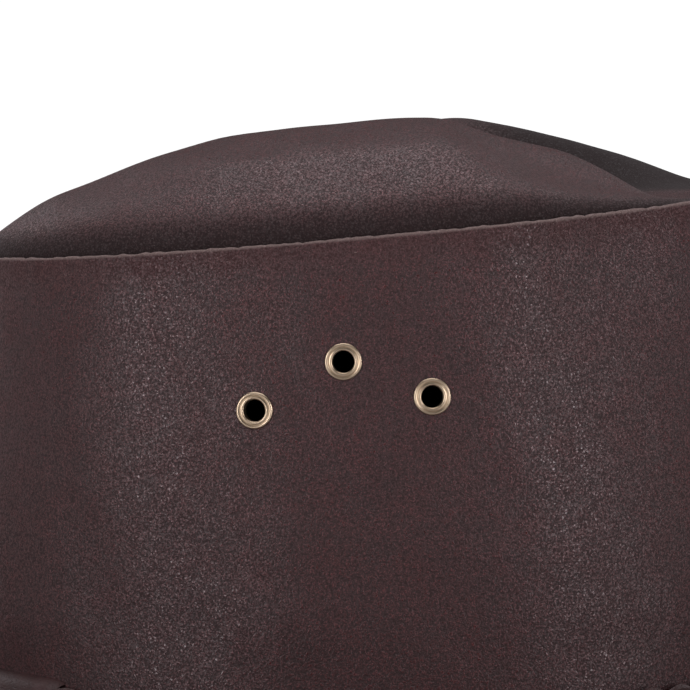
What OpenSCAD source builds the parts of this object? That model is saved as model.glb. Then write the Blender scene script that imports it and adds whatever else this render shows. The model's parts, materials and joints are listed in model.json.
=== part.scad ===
// Leather pirate hat: an oiled-leather crown with a creased, pinched tip, a wide two-ply
// brim with a wired and bound edge, and a left side that snaps up against the crown.
// +Z is up, the front of the hat faces -Y and the wearer's left is +X. The hat stands on
// the plane z = 0, and the origin is the centre of the head opening in that plane.

/* [Head opening] */
// Inside length of the sweatband, front to back
head_len = 202; // [185:1:215]
// Inside width of the sweatband
head_wid = 166; // [150:1:180]

/* [Crown] */
// Thickness of the crown leather
crown_t = 1.6; // [1.3:0.1:2]
// Height of the tip seam above the brim, at mid-length
crown_rise = 108.5; // [90:0.5:125]
// How far the crown wall leans in between the brim and the seam
crown_taper = 10.5; // [8:0.5:13]
// Slope of the seam, which climbs towards the front, in degrees
seam_slope = 4.2; // [0:0.2:6]
// How far the cut edge of the wall stands above the tip beside it
seam_lip = 1; // [0.6:0.1:1.6]
// Height of the domed tip above the seam, before it is creased
tip_puff = 25; // [20:0.5:32]
// Thickness of the tip leather
tip_t = 1.4; // [1.1:0.1:1.8]
// Depth of the lengthwise crease
crease_depth = 23; // [8:0.5:24]
// Half width of the crease
crease_half = 38.5; // [32:0.5:46]
// How far the front corners are pinched in at the seam
pinch_depth = 4.5; // [0:0.5:8]
// Height of the prow that the pinch leaves at the front
prow_rise = 1; // [0:0.5:6]
// Length of the tip's turned-down seam allowance
seam_allowance = 8; // [6:0.5:11]

/* [Brim] */
// Width of the brim at the sides
brim_side = 90; // [76:1:102]
// Width of the brim at the front and back
brim_end = 88; // [76:1:102]
// Thickness of the upper leather
brim_top_t = 1.4; // [1.1:0.1:1.8]
// Thickness of the stiffener
brim_core_t = 0.8; // [0.6:0.1:1.4]
// Thickness of the lower leather
brim_under_t = 1.2; // [1:0.1:1.6]
// Radius to which the right side rolls up
roll_radius = 230; // [200:5:320]
// Diameter of the edge wire
wire_d = 1.6; // [1.2:0.1:1.9]
// Thickness of the edge binding
binding_t = 0.9; // [0.7:0.1:1.2]
// Width of the edge binding on each face
binding_w = 8; // [6:0.5:11]

/* [Cocked side] */
// Clearance between the plaited band and the fold
fold_clear = 2.4; // [1.8:0.1:4]
// Clearance between the crown and the edge of the cocked side
cock_gap = 5; // [4:0.25:7]
// Distance from the press stud to the brim's edge
snap_edge = 34; // [26:1:42]
// Diameter of the press stud's cap
snap_cap_d = 15; // [13.5:0.5:18]
// Diameter of the stud that the socket grips
snap_stud_d = 6.8; // [6:0.1:7.6]

/* [Band and sweatband] */
// Height of the plaited band
band_h = 10; // [8:0.5:13]
// Thickness of the plaited band
band_t = 4; // [3:0.1:4.6]
// Length of the keeper on the band
keeper_len = 27; // [20:1:34]
// Height of the sweatband
sweat_h = 38; // [30:1:44]
// Thickness of the sweatband
sweat_t = 1.2; // [0.9:0.1:1.5]
// Diameter of the reed along the sweatband's lower edge
reed_d = 1.6; // [1.2:0.1:1.9]
// Width of the stay over the back seam
stay_w = 16; // [12:1:22]
// Thickness of the stay and the seam tape
stay_t = 1.2; // [0.9:0.1:1.6]

/* [Vents] */
// Bore of a vent eyelet
vent_bore = 4.8; // [4:0.1:5.6]
// Width of an eyelet's rolled flange, from the bore to the rim
vent_roll = 1.7; // [1.4:0.1:2.2]
// Distance of each lower eyelet from the middle of the side
vent_spacing = 19; // [15:0.5:26]
// Depth of the upper eyelet below the seam
vent_drop = 25.8; // [20:0.1:34]
// How much lower the other two sit
vent_step = 9.2; // [8:0.2:14]

/* [Hidden] */

seat_gap = 0.15;      // clearance between leather pieces that lie against each other
metal_gap = 0.05;     // clearance of a metal barrel in its punched hole
fold_gap = 0.5;       // opening between the brim and the cocked side at the fold
egg = 0.045;          // how much narrower the crown is at the front than at the middle
base_n = 2.12;        // squareness of the crown's plan at the brim
seam_n = 2.25;        // squareness of the crown's plan at the seam
brim_n = 2.05;        // squareness of the brim's plan
pinch_at = 43;        // direction of each pinch, in degrees from the front
pinch_half = 23;      // half width of each pinch, in degrees
prow_half = 30;       // half width of the prow, in degrees
around = 96;          // facets round the crown
edge_steps = 144;     // points round the brim's edge
far = 500;            // longer than any piece

// Levels of the brim's layers above the plane it stands on
under_z = binding_t;
core_z = under_z + brim_under_t;
top_z = core_z + brim_core_t;
brim_z = top_z + brim_top_t;
brim_full_z = brim_z + binding_t;

// Plan of the crown wall's outer face at the brim
wall_out = sweat_t + seat_gap + crown_t;
base_a = head_wid / 2 + wall_out;
base_b = head_len / 2 + wall_out;
brim_a = base_a + brim_side;
brim_b = base_b + brim_end;

fold_x = base_a + seat_gap + band_t + fold_clear;
roll_start = base_a + 12;
flap_reach = brim_a - fold_x;
wall_lean = crown_taper / (brim_z + crown_rise - under_z);
// Angle of the cocked side above flat: its edge comes to cock_gap from the crown
cock_angle = 90 + asin(
  (fold_x - base_a + wall_lean * flap_reach - cock_gap) / flap_reach);
layer_inset = binding_t + wire_d + 0.1;

function bump(d, half) = abs(d) < half ? (1 + cos(180 * d / half)) / 2 : 0;
function from_front(t) = abs(((t + 270) % 360) - 180);
function ease(v) = v <= 0 ? 0 : v >= 1 ? 1 : (1 - cos(180 * v)) / 2;
function unit(v) = v / norm(v);
function oval(t, a, b, n) =
  1 / pow(pow(abs(cos(t)) / a, n) + pow(abs(sin(t)) / b, n), 1 / n);
function squeeze(t, u) =
  (1 + u * egg * sin(t) * abs(cos(t)))
  - u * u * pinch_depth / base_a * bump(from_front(t) - pinch_at, pinch_half);

// Radius and height of the crown wall's outer face: t goes round from the left side by
// way of the back, and u goes from the brim's underside (0) to the seam (1).
function wall_r(t, u) = squeeze(t, u) * (
  (1 - u) * oval(t, base_a, base_b, base_n)
  + u * oval(t, base_a - crown_taper, base_b - crown_taper, seam_n));
function seam_level(y) = brim_z + crown_rise - tan(seam_slope) * y;
function seam_wave(t) =
  prow_rise * bump(from_front(t), prow_half)
  - prow_rise / 3 * bump(from_front(t) - pinch_at, pinch_half);
function seam_z(t) = seam_level(wall_r(t, 1) * sin(t)) + seam_wave(t);
function wall_z(t, u) = under_z + u * (seam_z(t) - under_z);
function u_at(t, z) = (z - under_z) / (seam_z(t) - under_z);
function at(t, r, z) = [r * cos(t), r * sin(t), z];
function wall_point(t, u) = at(t, wall_r(t, u), wall_z(t, u));
function wall_normal(t, u) = unit(cross(
  wall_point(t + 0.5, u) - wall_point(t - 0.5, u),
  wall_point(t, u + 0.01) - wall_point(t, u - 0.01)));

// Height of the tip's outer face at a share rho of the way out to the seam, which lies at
// radius r. The dome falls away at both ends, more so in front, and the crease and the two
// pinches take shares of what is left, so they never cut below the seam.
function falls(y) =
  1 - 0.26 * ease((y / base_b - 0.42) / 0.46) - 0.98 * ease((-y / base_b - 0.355) / 0.5);
function dips(x, t, rho) =
  (1 - crease_depth / tip_puff * bump(x, crease_half))
  * (1 - 0.4 * bump(from_front(t) - pinch_at, pinch_half * 1.25) * bump(rho - 0.86, 0.42));
function tip_z(t, rho, r) =
  seam_level(rho * r * sin(t)) + seam_wave(t) * pow(rho, 3)
  + tip_puff * pow(1 - pow(rho, 2.25), 0.42) * falls(rho * r * sin(t))
  * dips(rho * r * cos(t), t, rho);

// Plan of the brim and the height of a point that lies w above the flat brim's underside
function brim_r(t, inset) = oval(t, brim_a, brim_b, brim_n) - inset;
function roll_angle(x, w) = asin(max(-roll_start - x, 0) / (roll_radius - w));
function roll_z(x, w) =
  x > -roll_start ? w : roll_radius - (roll_radius - w) * cos(roll_angle(x, w));
function edge_point(t, inset, w) =
  let (x = brim_r(t, inset) * cos(t)) [x, brim_r(t, inset) * sin(t), roll_z(x, w)];
// Direction in which an edge inset from the brim's outline crosses the line x
function crossing(inset, x, low = 0, high = 90, left = 24) =
  let (mid = (low + high) / 2)
  left == 0 ? mid :
  brim_r(mid, inset) * cos(mid) > x ? crossing(inset, x, mid, high, left - 1)
                                    : crossing(inset, x, low, mid, left - 1);

// A closed solid between two grids of points that match one to one. The grid's rows
// close on themselves with ring = true, and cap = true closes it over its last column.
module shell(outer, inner, ring = true, cap = false) {
  rows = len(outer);
  cols = len(outer[0]);
  second = rows * cols;
  last_row = ring ? rows : rows - 1;
  function id(i, j) = (i % rows) * cols + j;
  polyhedron(
    points = concat([for (row = outer) each row], [for (row = inner) each row]),
    faces = concat(
      [for (i = [0 : last_row - 1], j = [0 : cols - 2], tri = [0, 1])
        tri == 0 ? [id(i, j), id(i, j + 1), id(i + 1, j)]
                 : [id(i, j + 1), id(i + 1, j + 1), id(i + 1, j)]],
      [for (i = [0 : last_row - 1], j = [0 : cols - 2], tri = [0, 1])
        tri == 0 ? [second + id(i, j), second + id(i + 1, j), second + id(i, j + 1)]
                 : [second + id(i, j + 1), second + id(i + 1, j), second + id(i + 1, j + 1)]],
      [for (i = [0 : last_row - 1])
        [id(i, 0), id(i + 1, 0), second + id(i + 1, 0), second + id(i, 0)]],
      cap
        ? [[for (i = [0 : rows - 1]) id(rows - 1 - i, cols - 1)],
           [for (i = [0 : rows - 1]) second + id(i, cols - 1)]]
        : [for (i = [0 : last_row - 1])
            [id(i, cols - 1), second + id(i, cols - 1),
             second + id(i + 1, cols - 1), id(i + 1, cols - 1)]],
      ring ? [] : [for (j = [0 : cols - 2])
        [id(0, j), second + id(0, j), second + id(0, j + 1), id(0, j + 1)]],
      ring ? [] : [for (j = [0 : cols - 2])
        [id(rows - 1, j), id(rows - 1, j + 1),
         second + id(rows - 1, j + 1), second + id(rows - 1, j)]]
    ),
    convexity = 8);
}

// A round tube along a path, with its ends closed, or joined up with loop = true
module tube(path, d, sides = 8, loop = false) {
  n = len(path);
  function heading(i) = unit(loop
    ? path[(i + 1) % n] - path[(i + n - 1) % n]
    : path[min(i + 1, n - 1)] - path[max(i - 1, 0)]);
  rings = [for (i = [0 : n - 1])
    let (h = heading(i), side = unit(cross(h, [0, 0, 1])), up = cross(side, h))
    for (k = [0 : sides - 1])
      path[i] + d / 2 * (cos(360 * k / sides) * side + sin(360 * k / sides) * up)];
  function id(i, k) = (i % n) * sides + k % sides;
  polyhedron(
    points = rings,
    faces = concat(
      [for (i = [0 : (loop ? n : n - 1) - 1], k = [0 : sides - 1], tri = [0, 1])
        tri == 0 ? [id(i, k), id(i, k + 1), id(i + 1, k)]
                 : [id(i, k + 1), id(i + 1, k + 1), id(i + 1, k)]],
      loop ? [] : [[for (k = [0 : sides - 1]) id(0, sides - 1 - k)]],
      loop ? [] : [[for (k = [0 : sides - 1]) id(n - 1, k)]]));
}

// Places its children on the crown wall, with their +Z along the wall's outward normal
module on_wall(t, u) {
  n = wall_normal(t, u);
  p = wall_point(t, u);
  side = unit(cross([0, 0, 1], n));
  up = cross(n, side);
  multmatrix([[side.x, up.x, n.x, p.x], [side.y, up.y, n.y, p.y], [side.z, up.z, n.z, p.z]])
    children();
}

// Puts its children at each vent of one side: 180 is the right side and 0 the left
module each_vent(facing) {
  spread = asin(vent_spacing / wall_r(180, 0.75));
  for (k = [-1, 0, 1]) {
    t = facing + k * spread;
    on_wall(t, u_at(t, seam_z(t) - vent_drop - abs(k) * vent_step)) children();
  }
}

// Raises its children about the fold line from flat to the cocked position
module cocked() {
  translate([fold_x, 0, brim_full_z]) rotate([0, -cock_angle, 0])
    translate([-fold_x, 0, -brim_full_z]) children();
}

// A piece of the crown wall between two levels, set off from the wall's outer face
function wall_grid(offset_low, offset_high, z_low, z_high, steps, low = 0, high = 360) =
  let (rows = round(around * (high - low) / 360))
  [for (i = [0 : rows - (high - low == 360 ? 1 : 0)])
    let (t = low + (high - low) * i / rows)
    [for (j = [0 : steps])
      let (z = z_low + (z_high - z_low) * j / steps)
      at(t, wall_r(t, u_at(t, z)) + offset_low + (offset_high - offset_low) * j / steps, z)]];

module crown_side_blank() {
  levels = 6;
  outer = [for (i = [0 : around - 1]) let (t = 360 * i / around)
    [for (j = [0 : levels]) at(t, wall_r(t, j / levels),
      wall_z(t, j / levels) + (j == levels ? seam_lip : 0))]];
  inner = [for (i = [0 : around - 1]) let (t = 360 * i / around)
    [for (j = [0 : levels]) at(t, wall_r(t, j / levels) - crown_t,
      wall_z(t, j / levels) + (j == levels ? seam_lip : 0))]];
  shell(outer, inner);
}

module crown_side() {
  color("#3a2829") difference() {
    crown_side_blank();
    for (facing = [180, 0]) each_vent(facing)
      cylinder(d = barrel_d + 2 * metal_gap, h = 4 * crown_t, center = true, $fn = 48);
    at_stud() {
      cylinder(d = rivet_d + 2 * metal_gap, h = 16, center = true, $fn = 48);
      cylinder(d = seat_d, h = 8, $fn = 64);
      translate([0, 0, -8 - stud_seat]) cylinder(d = seat_d, h = 8, $fn = 64);
    }
  }
}

// The tip's edge is turned down inside the wall as a seam allowance and then domes over
module crown_tip() {
  shares = [1, 0.985, 0.955, 0.91, 0.85, 0.78, 0.69, 0.59, 0.48, 0.37, 0.26, 0.15, 0.05];
  function skin(depth) = [for (i = [0 : around - 1])
    let (t = 360 * i / around, r = wall_r(t, 1) - crown_t - seat_gap - depth, z = seam_z(t))
    concat(
      [at(t, wall_r(t, u_at(t, z - seam_allowance)) - crown_t - seat_gap - depth,
        z - seam_allowance)],
      [for (rho = shares)
        at(t, r * rho, tip_z(t, rho, r) - depth * min(1, (1 - rho) * 12))])];
  color("#4a3a3c") shell(skin(0), skin(tip_t), cap = true);
}

// A leather strip sewn over the closed back seam of the wall
module crown_back_stay() {
  half = asin(stay_w / 2 / wall_r(90, 0.5));
  low = band_low_z + band_h + 1;
  high = seam_z(90) - 1;
  color("#35242a") shell(
    wall_grid(seat_gap + stay_t, seat_gap + stay_t, low, high, 8, 90 - half, 90 + half),
    wall_grid(seat_gap, seat_gap, low, high, 8, 90 - half, 90 + half), ring = false);
}

// A cotton tape that binds the tip's seam allowance inside the crown
module tip_seam_tape() {
  tape_t = 0.6;
  off = -(crown_t + 2 * seat_gap + tip_t);
  function grid(depth) = [for (i = [0 : around - 1]) let (t = 360 * i / around)
    [for (j = [0 : 2])
      let (z = seam_z(t) - seam_allowance - 3 + j * (seam_allowance - 1) / 2)
      at(t, wall_r(t, u_at(t, z)) + off - depth, z)]];
  color("#1d1a19") shell(grid(0), grid(tape_t));
}

module brim_plan(inset) {
  polygon([for (i = [0 : edge_steps - 1])
    brim_r(360 * i / edge_steps, inset)
    * [cos(360 * i / edge_steps), sin(360 * i / edge_steps)]]);
}

module crown_plan(gap) {
  polygon([for (i = [0 : around - 1])
    (wall_r(360 * i / around, 0) + gap) * [cos(360 * i / around), sin(360 * i / around)]]);
}

// The space between two levels of the brim: flat, and rolled up along the right side. It
// ends at the fold, or as far beyond it as over says.
module brim_space(low, high, over = 0) {
  steps = 10;
  swing = roll_angle(-brim_a - 4, 0);
  function level(w) = concat(
    [[fold_x - fold_gap / 2 + over, w]],
    [for (i = [0 : steps]) [-roll_start - (roll_radius - w) * sin(swing * i / steps),
      roll_radius - (roll_radius - w) * cos(swing * i / steps)]]);
  up = level(high);
  rotate([90, 0, 0]) linear_extrude(far, center = true)
    polygon(concat(level(low), [for (i = [len(up) - 1 : -1 : 0]) up[i]]));
}

module brim_layer(low, high) {
  intersection() {
    linear_extrude(far, center = true) difference() {
      brim_plan(layer_inset);
      crown_plan(seat_gap);
    }
    brim_space(low, high);
  }
}

module brim_top() color("#402c2d") brim_layer(top_z, brim_z);
module brim_core() color("#8a7a62") brim_layer(core_z, top_z);
module brim_under() color("#4a3530") brim_layer(under_z, core_z);

module binding_ring() {
  linear_extrude(far, center = true) difference() {
    brim_plan(0);
    brim_plan(layer_inset + binding_w);
  }
}

// A folded strip over the brim's edge, with the wire inside it
module brim_binding() {
  color("#2f2021") difference() {
    intersection() {
      binding_ring();
      brim_space(0, brim_full_z);
    }
    intersection() {
      linear_extrude(far, center = true) brim_plan(binding_t);
      brim_space(binding_t, brim_z, over = 1);
    }
  }
}

wire_inset = binding_t + wire_d / 2 + 0.05;
wire_w = (under_z + brim_z) / 2;

module brim_wire() {
  start = crossing(wire_inset, fold_x - fold_gap / 2);
  steps = 84;
  color("silver") tube([for (i = [0 : steps])
    edge_point(start + (360 - 2 * start) * i / steps, wire_inset, wire_w)], wire_d);
}

module flap_space(low, high) {
  translate([fold_x + fold_gap / 2, -far / 2, low]) cube([far, far, high - low]);
}

snap_reach = flap_reach - snap_edge;
snap_x = fold_x + snap_reach;
rivet_d = 3.4;

module flap_layer(low, high) {
  cocked() difference() {
    intersection() {
      linear_extrude(far, center = true) brim_plan(layer_inset);
      flap_space(low, high);
    }
    translate([snap_x, 0, 0])
      cylinder(d = rivet_d + 2 * metal_gap, h = far, center = true, $fn = 48);
  }
}

module flap_top() color("#402c2d") flap_layer(top_z, brim_z);
module flap_core() color("#8a7a62") flap_layer(core_z, top_z);
module flap_under() color("#4a3530") flap_layer(under_z, core_z);

module flap_binding() {
  color("#2f2021") cocked() difference() {
    intersection() {
      binding_ring();
      flap_space(0, brim_full_z);
    }
    intersection() {
      linear_extrude(far, center = true) brim_plan(binding_t);
      translate([-1, 0, 0]) flap_space(binding_t, brim_z);
    }
  }
}

module flap_wire() {
  finish = crossing(wire_inset, fold_x + fold_gap / 2);
  steps = 48;
  color("silver") cocked() tube([for (i = [0 : steps])
    edge_point(-finish + 2 * finish * i / steps, wire_inset, wire_w)], wire_d);
}

// Sweatband: its inner face is the head opening, and the reed runs under its lower edge
reed_z = under_z + reed_d / 2;
sweat_z = under_z + reed_d + 0.1;

module sweatband() {
  off = -(crown_t + seat_gap);
  color("#5a4030") shell(
    wall_grid(off, off, sweat_z, sweat_z + sweat_h, 4),
    wall_grid(off - sweat_t, off - sweat_t, sweat_z, sweat_z + sweat_h, 4));
}

module sweatband_reed() {
  off = -(crown_t + seat_gap + reed_d / 2);
  steps = 72;
  color("#d8d2c0") tube([for (i = [0 : steps - 1]) let (t = 360 * i / steps)
    at(t, wall_r(t, u_at(t, reed_z)) + off, reed_z)], reed_d, sides = 8, loop = true);
}

// A small ribbon bow that marks the back of the sweatband: two loops and a knot
module sweatband_bow() {
  bow_z = sweat_z + 9;
  loop_w = 9;
  bow_t = 1;
  off = -(crown_t + seat_gap + sweat_t + seat_gap);
  // A sheet of the given thickness that lies against the band's inner face
  module sheet(thick)
    shell(wall_grid(off, off, bow_z - 6, bow_z + 6, 4, 75, 105),
          wall_grid(off - thick, off - thick, bow_z - 6, bow_z + 6, 4, 75, 105), ring = false);
  module cut_out() translate([0, far, bow_z]) rotate([90, 0, 0]) linear_extrude(far) children();
  color("#241a18") {
    intersection() {
      sheet(bow_t);
      cut_out() for (side = [-1, 1])
        polygon([[0, -1.2], [side * loop_w, -3.4], [side * (loop_w + 1), 0],
                 [side * loop_w, 3.4], [0, 1.2]]);
    }
    intersection() {
      sheet(bow_t + 0.8);
      cut_out() square([4, 4.4], center = true);
    }
  }
}

band_low_z = brim_z + 0.2;

// The plaited band as one plain ring with a rounded outer face
module hatband_plait() {
  steps = 8;
  function outline(i) = sin(180 * i / steps);
  function grid(depth) = [for (k = [0 : 71]) let (t = 5 * k)
    [for (j = [0 : steps]) let (z = band_low_z + band_h * (1 - cos(180 * j / steps)) / 2)
      at(t, wall_r(t, u_at(t, z)) + seat_gap
        + (depth == 0 ? 0.2 + (band_t - 0.2) * outline(j) : 0), z)]];
  color("#2c1e1e") shell(grid(0), grid(1));
}

// A wrapped leather keeper that hides where the plait's ends are joined, at the back right
keeper_at = 128;
keeper_t = 1.8;

module hatband_keeper() {
  half = asin(keeper_len / 2 / wall_r(keeper_at, 0.1));
  rows = 8;
  steps = 12;
  mid = band_low_z + band_h / 2;
  start = -asin((mid - brim_z - 0.1) / (band_h / 2 + 0.3 + keeper_t));
  function grid(skin) = [for (k = [0 : rows])
    let (t = keeper_at - half + 2 * half * k / rows)
    [for (j = [0 : steps])
      let (a = start + (90 - start) * j / steps, z = mid + (band_h / 2 + 0.3 + skin) * sin(a))
      at(t, wall_r(t, u_at(t, z)) + seat_gap + (band_t + 0.3 + skin) * cos(a), z)]];
  color("#241818") shell(grid(keeper_t), grid(0), ring = false);
}

barrel_wall = 0.35;
barrel_d = vent_bore + 2 * barrel_wall;
flange_d = vent_bore + 2 * vent_roll;
washer_t = 0.5;
washer_gap = 0.15;
washer_top = -(crown_t + washer_gap);
washer_d = flange_d - 0.4;

// An eyelet: a rolled flange outside, a barrel through the leather and a flare inside
module eyelet() {
  roll_r = vent_roll / 2;
  flare_top = washer_top - washer_t - 0.02;
  rotate_extrude($fn = 64) polygon(concat(
    [for (i = [0 : 12]) [vent_bore / 2 + roll_r + roll_r * cos(15 * i), roll_r * sin(15 * i)]],
    [[vent_bore / 2, flare_top - 0.5],
     [vent_bore / 2 + 0.5, flare_top - 0.62],
     [vent_bore / 2 + 1, flare_top - 0.4],
     [vent_bore / 2 + 1.1, flare_top],
     [barrel_d / 2, flare_top],
     [barrel_d / 2, 0]]));
}

module washer() {
  translate([0, 0, washer_top - washer_t]) difference() {
    cylinder(d = washer_d, h = washer_t, $fn = 64);
    translate([0, 0, -1]) cylinder(d = barrel_d + 2 * metal_gap, h = washer_t + 2, $fn = 64);
  }
}

module vent_eyelets_right() color("#b59a6a") each_vent(180) eyelet();
module vent_eyelets_left() color("#b59a6a") each_vent(0) eyelet();
module vent_washers_right() color("#a08858") each_vent(180) washer();
module vent_washers_left() color("#a08858") each_vent(0) washer();

// The press stud. The socket and its cap are on the cocked side, and the stud stands on
// the crown wall along the same line, where that line meets the wall's outer face.
cap_h = 2.6;
socket_d = snap_stud_d + 5.4;
socket_h = 3;
socket_floor = 0.6;
stud_base_d = snap_stud_d + 3.6;
stud_base_t = 0.8;
seat_d = stud_base_d + 4 * metal_gap;
stud_sink = 0.25;     // depth of the stud's flat seat in the wall
post_head_t = 0.6;
// Leather left between the stud's base and the post's head, which is flush inside
stud_seat = crown_t - stud_sink - post_head_t;
// Centre of the socket's mouth when the side is cocked, and the wall point facing it
mouth_u = [snap_reach, brim_z + socket_h - brim_full_z];
mouth_x = fold_x + mouth_u.x * cos(cock_angle) - mouth_u.y * sin(cock_angle);
mouth_z = brim_full_z + mouth_u.x * sin(cock_angle) + mouth_u.y * cos(cock_angle);
tilt = cock_angle - 90;
stud_gap = (mouth_x - base_a + wall_lean * (mouth_z - under_z))
  / (cos(tilt) + wall_lean * sin(tilt));
stud_len = stud_gap + stud_sink + socket_h - socket_floor - 0.3;

// Puts its children's origin on the base plane of the stud with +Z towards the socket
module at_stud() {
  translate([mouth_x - stud_gap * cos(tilt), 0, mouth_z - stud_gap * sin(tilt)])
    rotate([0, 90 - tilt, 0]) translate([0, 0, -stud_sink]) children();
}

module snap_cap() {
  ball = (snap_cap_d * snap_cap_d / 4 + cap_h * cap_h) / (2 * cap_h);
  color("#b59a6a") cocked() translate([snap_x, 0, under_z]) {
    intersection() {
      translate([0, 0, -far]) cylinder(d = snap_cap_d, h = far, $fn = 96);
      translate([0, 0, ball - cap_h]) sphere(ball, $fn = 128);
    }
    cylinder(d = rivet_d, h = brim_z - under_z + socket_floor, $fn = 48);
  }
}

module snap_socket() {
  color("#a89060") cocked() translate([snap_x, 0, brim_z]) difference() {
    rotate_extrude($fn = 96) polygon([
      [0, 0], [socket_d / 2, 0], [socket_d / 2, socket_h - 0.9],
      [socket_d / 2 - 0.9, socket_h], [0, socket_h]]);
    translate([0, 0, socket_floor]) cylinder(d = snap_stud_d + 0.9, h = socket_h, $fn = 96);
    translate([0, 0, -1]) cylinder(d = rivet_d + 2 * metal_gap, h = socket_h, $fn = 48);
  }
}

module snap_stud() {
  color("#a89060") at_stud() difference() {
    rotate_extrude($fn = 96) polygon([
      [0, 0], [stud_base_d / 2, 0], [stud_base_d / 2, stud_base_t],
      [snap_stud_d / 2 - 0.5, stud_base_t + 0.3],
      [snap_stud_d / 2 - 0.5, stud_len - 1.8],
      [snap_stud_d / 2, stud_len - 1.2], [snap_stud_d / 2, stud_len - 0.7],
      [snap_stud_d / 2 - 0.7, stud_len], [0, stud_len]]);
    translate([0, 0, -1]) cylinder(d = rivet_d + 2 * metal_gap, h = stud_len, $fn = 48);
  }
}

module snap_post() {
  color("#a08858") at_stud() {
    translate([0, 0, -stud_seat - post_head_t])
      cylinder(d = stud_base_d, h = post_head_t, $fn = 64);
    translate([0, 0, -stud_seat]) cylinder(d = rivet_d, h = stud_seat + stud_len - 1.2, $fn = 48);
  }
}

crown_side();
crown_tip();
crown_back_stay();
tip_seam_tape();
brim_top();
brim_core();
brim_under();
brim_binding();
brim_wire();
flap_top();
flap_core();
flap_under();
flap_binding();
flap_wire();
sweatband();
sweatband_reed();
sweatband_bow();
hatband_plait();
hatband_keeper();
vent_eyelets_right();
vent_eyelets_left();
vent_washers_right();
vent_washers_left();
snap_cap();
snap_socket();
snap_stud();
snap_post();
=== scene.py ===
"""The looks of a leather pirate hat: oiled leathers, plait, stitching and brass fittings,
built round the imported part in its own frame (front -Y, wearer's left +X, +Z up)."""

import json
import math

import bmesh
import bpy
import numpy as np
from bpy.props import FloatProperty, FloatVectorProperty, IntProperty, PointerProperty
from mathutils import Matrix, Vector

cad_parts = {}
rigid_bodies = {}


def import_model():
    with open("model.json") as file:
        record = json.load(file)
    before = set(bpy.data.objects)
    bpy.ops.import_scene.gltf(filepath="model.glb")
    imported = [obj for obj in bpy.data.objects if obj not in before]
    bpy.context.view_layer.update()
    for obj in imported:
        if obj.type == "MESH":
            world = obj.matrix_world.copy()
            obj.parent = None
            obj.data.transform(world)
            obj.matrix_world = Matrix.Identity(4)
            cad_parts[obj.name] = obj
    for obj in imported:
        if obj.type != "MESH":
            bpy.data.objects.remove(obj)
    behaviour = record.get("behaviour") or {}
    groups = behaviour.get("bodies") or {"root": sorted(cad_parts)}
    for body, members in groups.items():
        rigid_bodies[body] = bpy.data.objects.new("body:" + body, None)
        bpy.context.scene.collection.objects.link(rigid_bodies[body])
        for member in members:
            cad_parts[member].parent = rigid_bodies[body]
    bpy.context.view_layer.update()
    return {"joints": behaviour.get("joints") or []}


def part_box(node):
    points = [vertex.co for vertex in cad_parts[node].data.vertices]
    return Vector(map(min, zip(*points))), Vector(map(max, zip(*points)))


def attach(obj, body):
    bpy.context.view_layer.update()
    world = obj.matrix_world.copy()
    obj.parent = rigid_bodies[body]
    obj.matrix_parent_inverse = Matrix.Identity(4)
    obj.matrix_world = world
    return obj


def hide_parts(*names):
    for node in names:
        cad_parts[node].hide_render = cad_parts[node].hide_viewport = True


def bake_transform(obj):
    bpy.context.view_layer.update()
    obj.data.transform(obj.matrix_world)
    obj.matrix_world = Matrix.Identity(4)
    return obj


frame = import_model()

bl_info = {
    "name": "Pirate Hat",
    "version": (1, 0, 0),
    "blender": (4, 5, 0),
    "location": "3D View > Sidebar > Pirate Hat",
    "description": "Builds the leathers, plait, stitching and fittings of a cocked leather hat",
    "category": "Add Mesh",
}

MM = 0.001
JOINT = frame["joints"][0]
HAT, FLAP = JOINT["parent"], JOINT["child"]


def low(node):
    return np.array(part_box(node)[0]) / MM


def high(node):
    return np.array(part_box(node)[1]) / MM


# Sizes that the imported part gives, in millimetres
BASE_A, BASE_B = high("crown_side")[0], high("crown_side")[1]
BRIM_B = high("brim_binding")[1]
BRIM_A = BASE_A + BRIM_B - BASE_B + 2
UNDER_Z, CORE_Z, TOP_Z = (low(n)[2] for n in ("brim_under", "brim_core", "brim_top"))
FOLD_X, _, FULL_Z = (v / MM for v in JOINT["pos_m"])
COCK = math.radians(JOINT["range_deg"][1])
BINDING = UNDER_Z
BRIM_Z = FULL_Z - BINDING
SWEAT_LOW, SWEAT_HIGH = low("sweatband")[2], high("sweatband")[2]
BAND_LOW, BAND_HIGH = low("hatband_plait")[2], high("hatband_plait")[2]
STAY_LOW, STAY_HIGH = low("crown_back_stay")[2], high("crown_back_stay")[2]

# Sizes of the leathers and of the crown's form, in millimetres and degrees
CROWN_T, TIP_T, SEAT = 1.6, 1.4, 0.15
RISE, TAPER, SLOPE, LIP = 108.5, 10.5, 4.2, 1.0
EGG, PINCH, PINCH_AT, PINCH_HALF = 0.045, 4.5, 43.0, 23.0
PROW, PROW_HALF = 1.0, 30.0
PUFF, CREASE, CREASE_HALF, ALLOWANCE = 25.0, 23.0, 38.5, 8.0
ROLL_R, ROLL_START = 230.0, BASE_A + 12
WIRE_D, BINDING_W = 1.6, 8.0
INSET = BINDING + WIRE_D + 0.1
BEND = 3.0
VENT_SPREAD, VENT_DROP, VENT_STEP = 19.0, 25.8, 9.2
BORE, ROLL = 4.8, 1.7
WASHER_Z = -CROWN_T - 0.65
STUD_BORE, STUD_GAP, SNAP_REACH = 1.75, 0.25, BRIM_A - FOLD_X - 34
SWEAT_T, REED_R, STITCH_INSET = 1.2, 0.8, 1.6
STAY_HALF, STAY_T, STAY_STITCH = 8.0, 1.2, 5.9
FOLD_REACH = BEND * math.tan(COCK / 2)


# ---------------------------------------------------------------- the hat's form


def bump(d, half):
    """A soft hill, 1 at 0 and 0 from half outwards."""
    d = np.abs(np.asarray(d, float))
    return np.where(d < half, (1 + np.cos(np.pi * np.minimum(d / half, 1))) / 2, 0.0)


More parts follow.
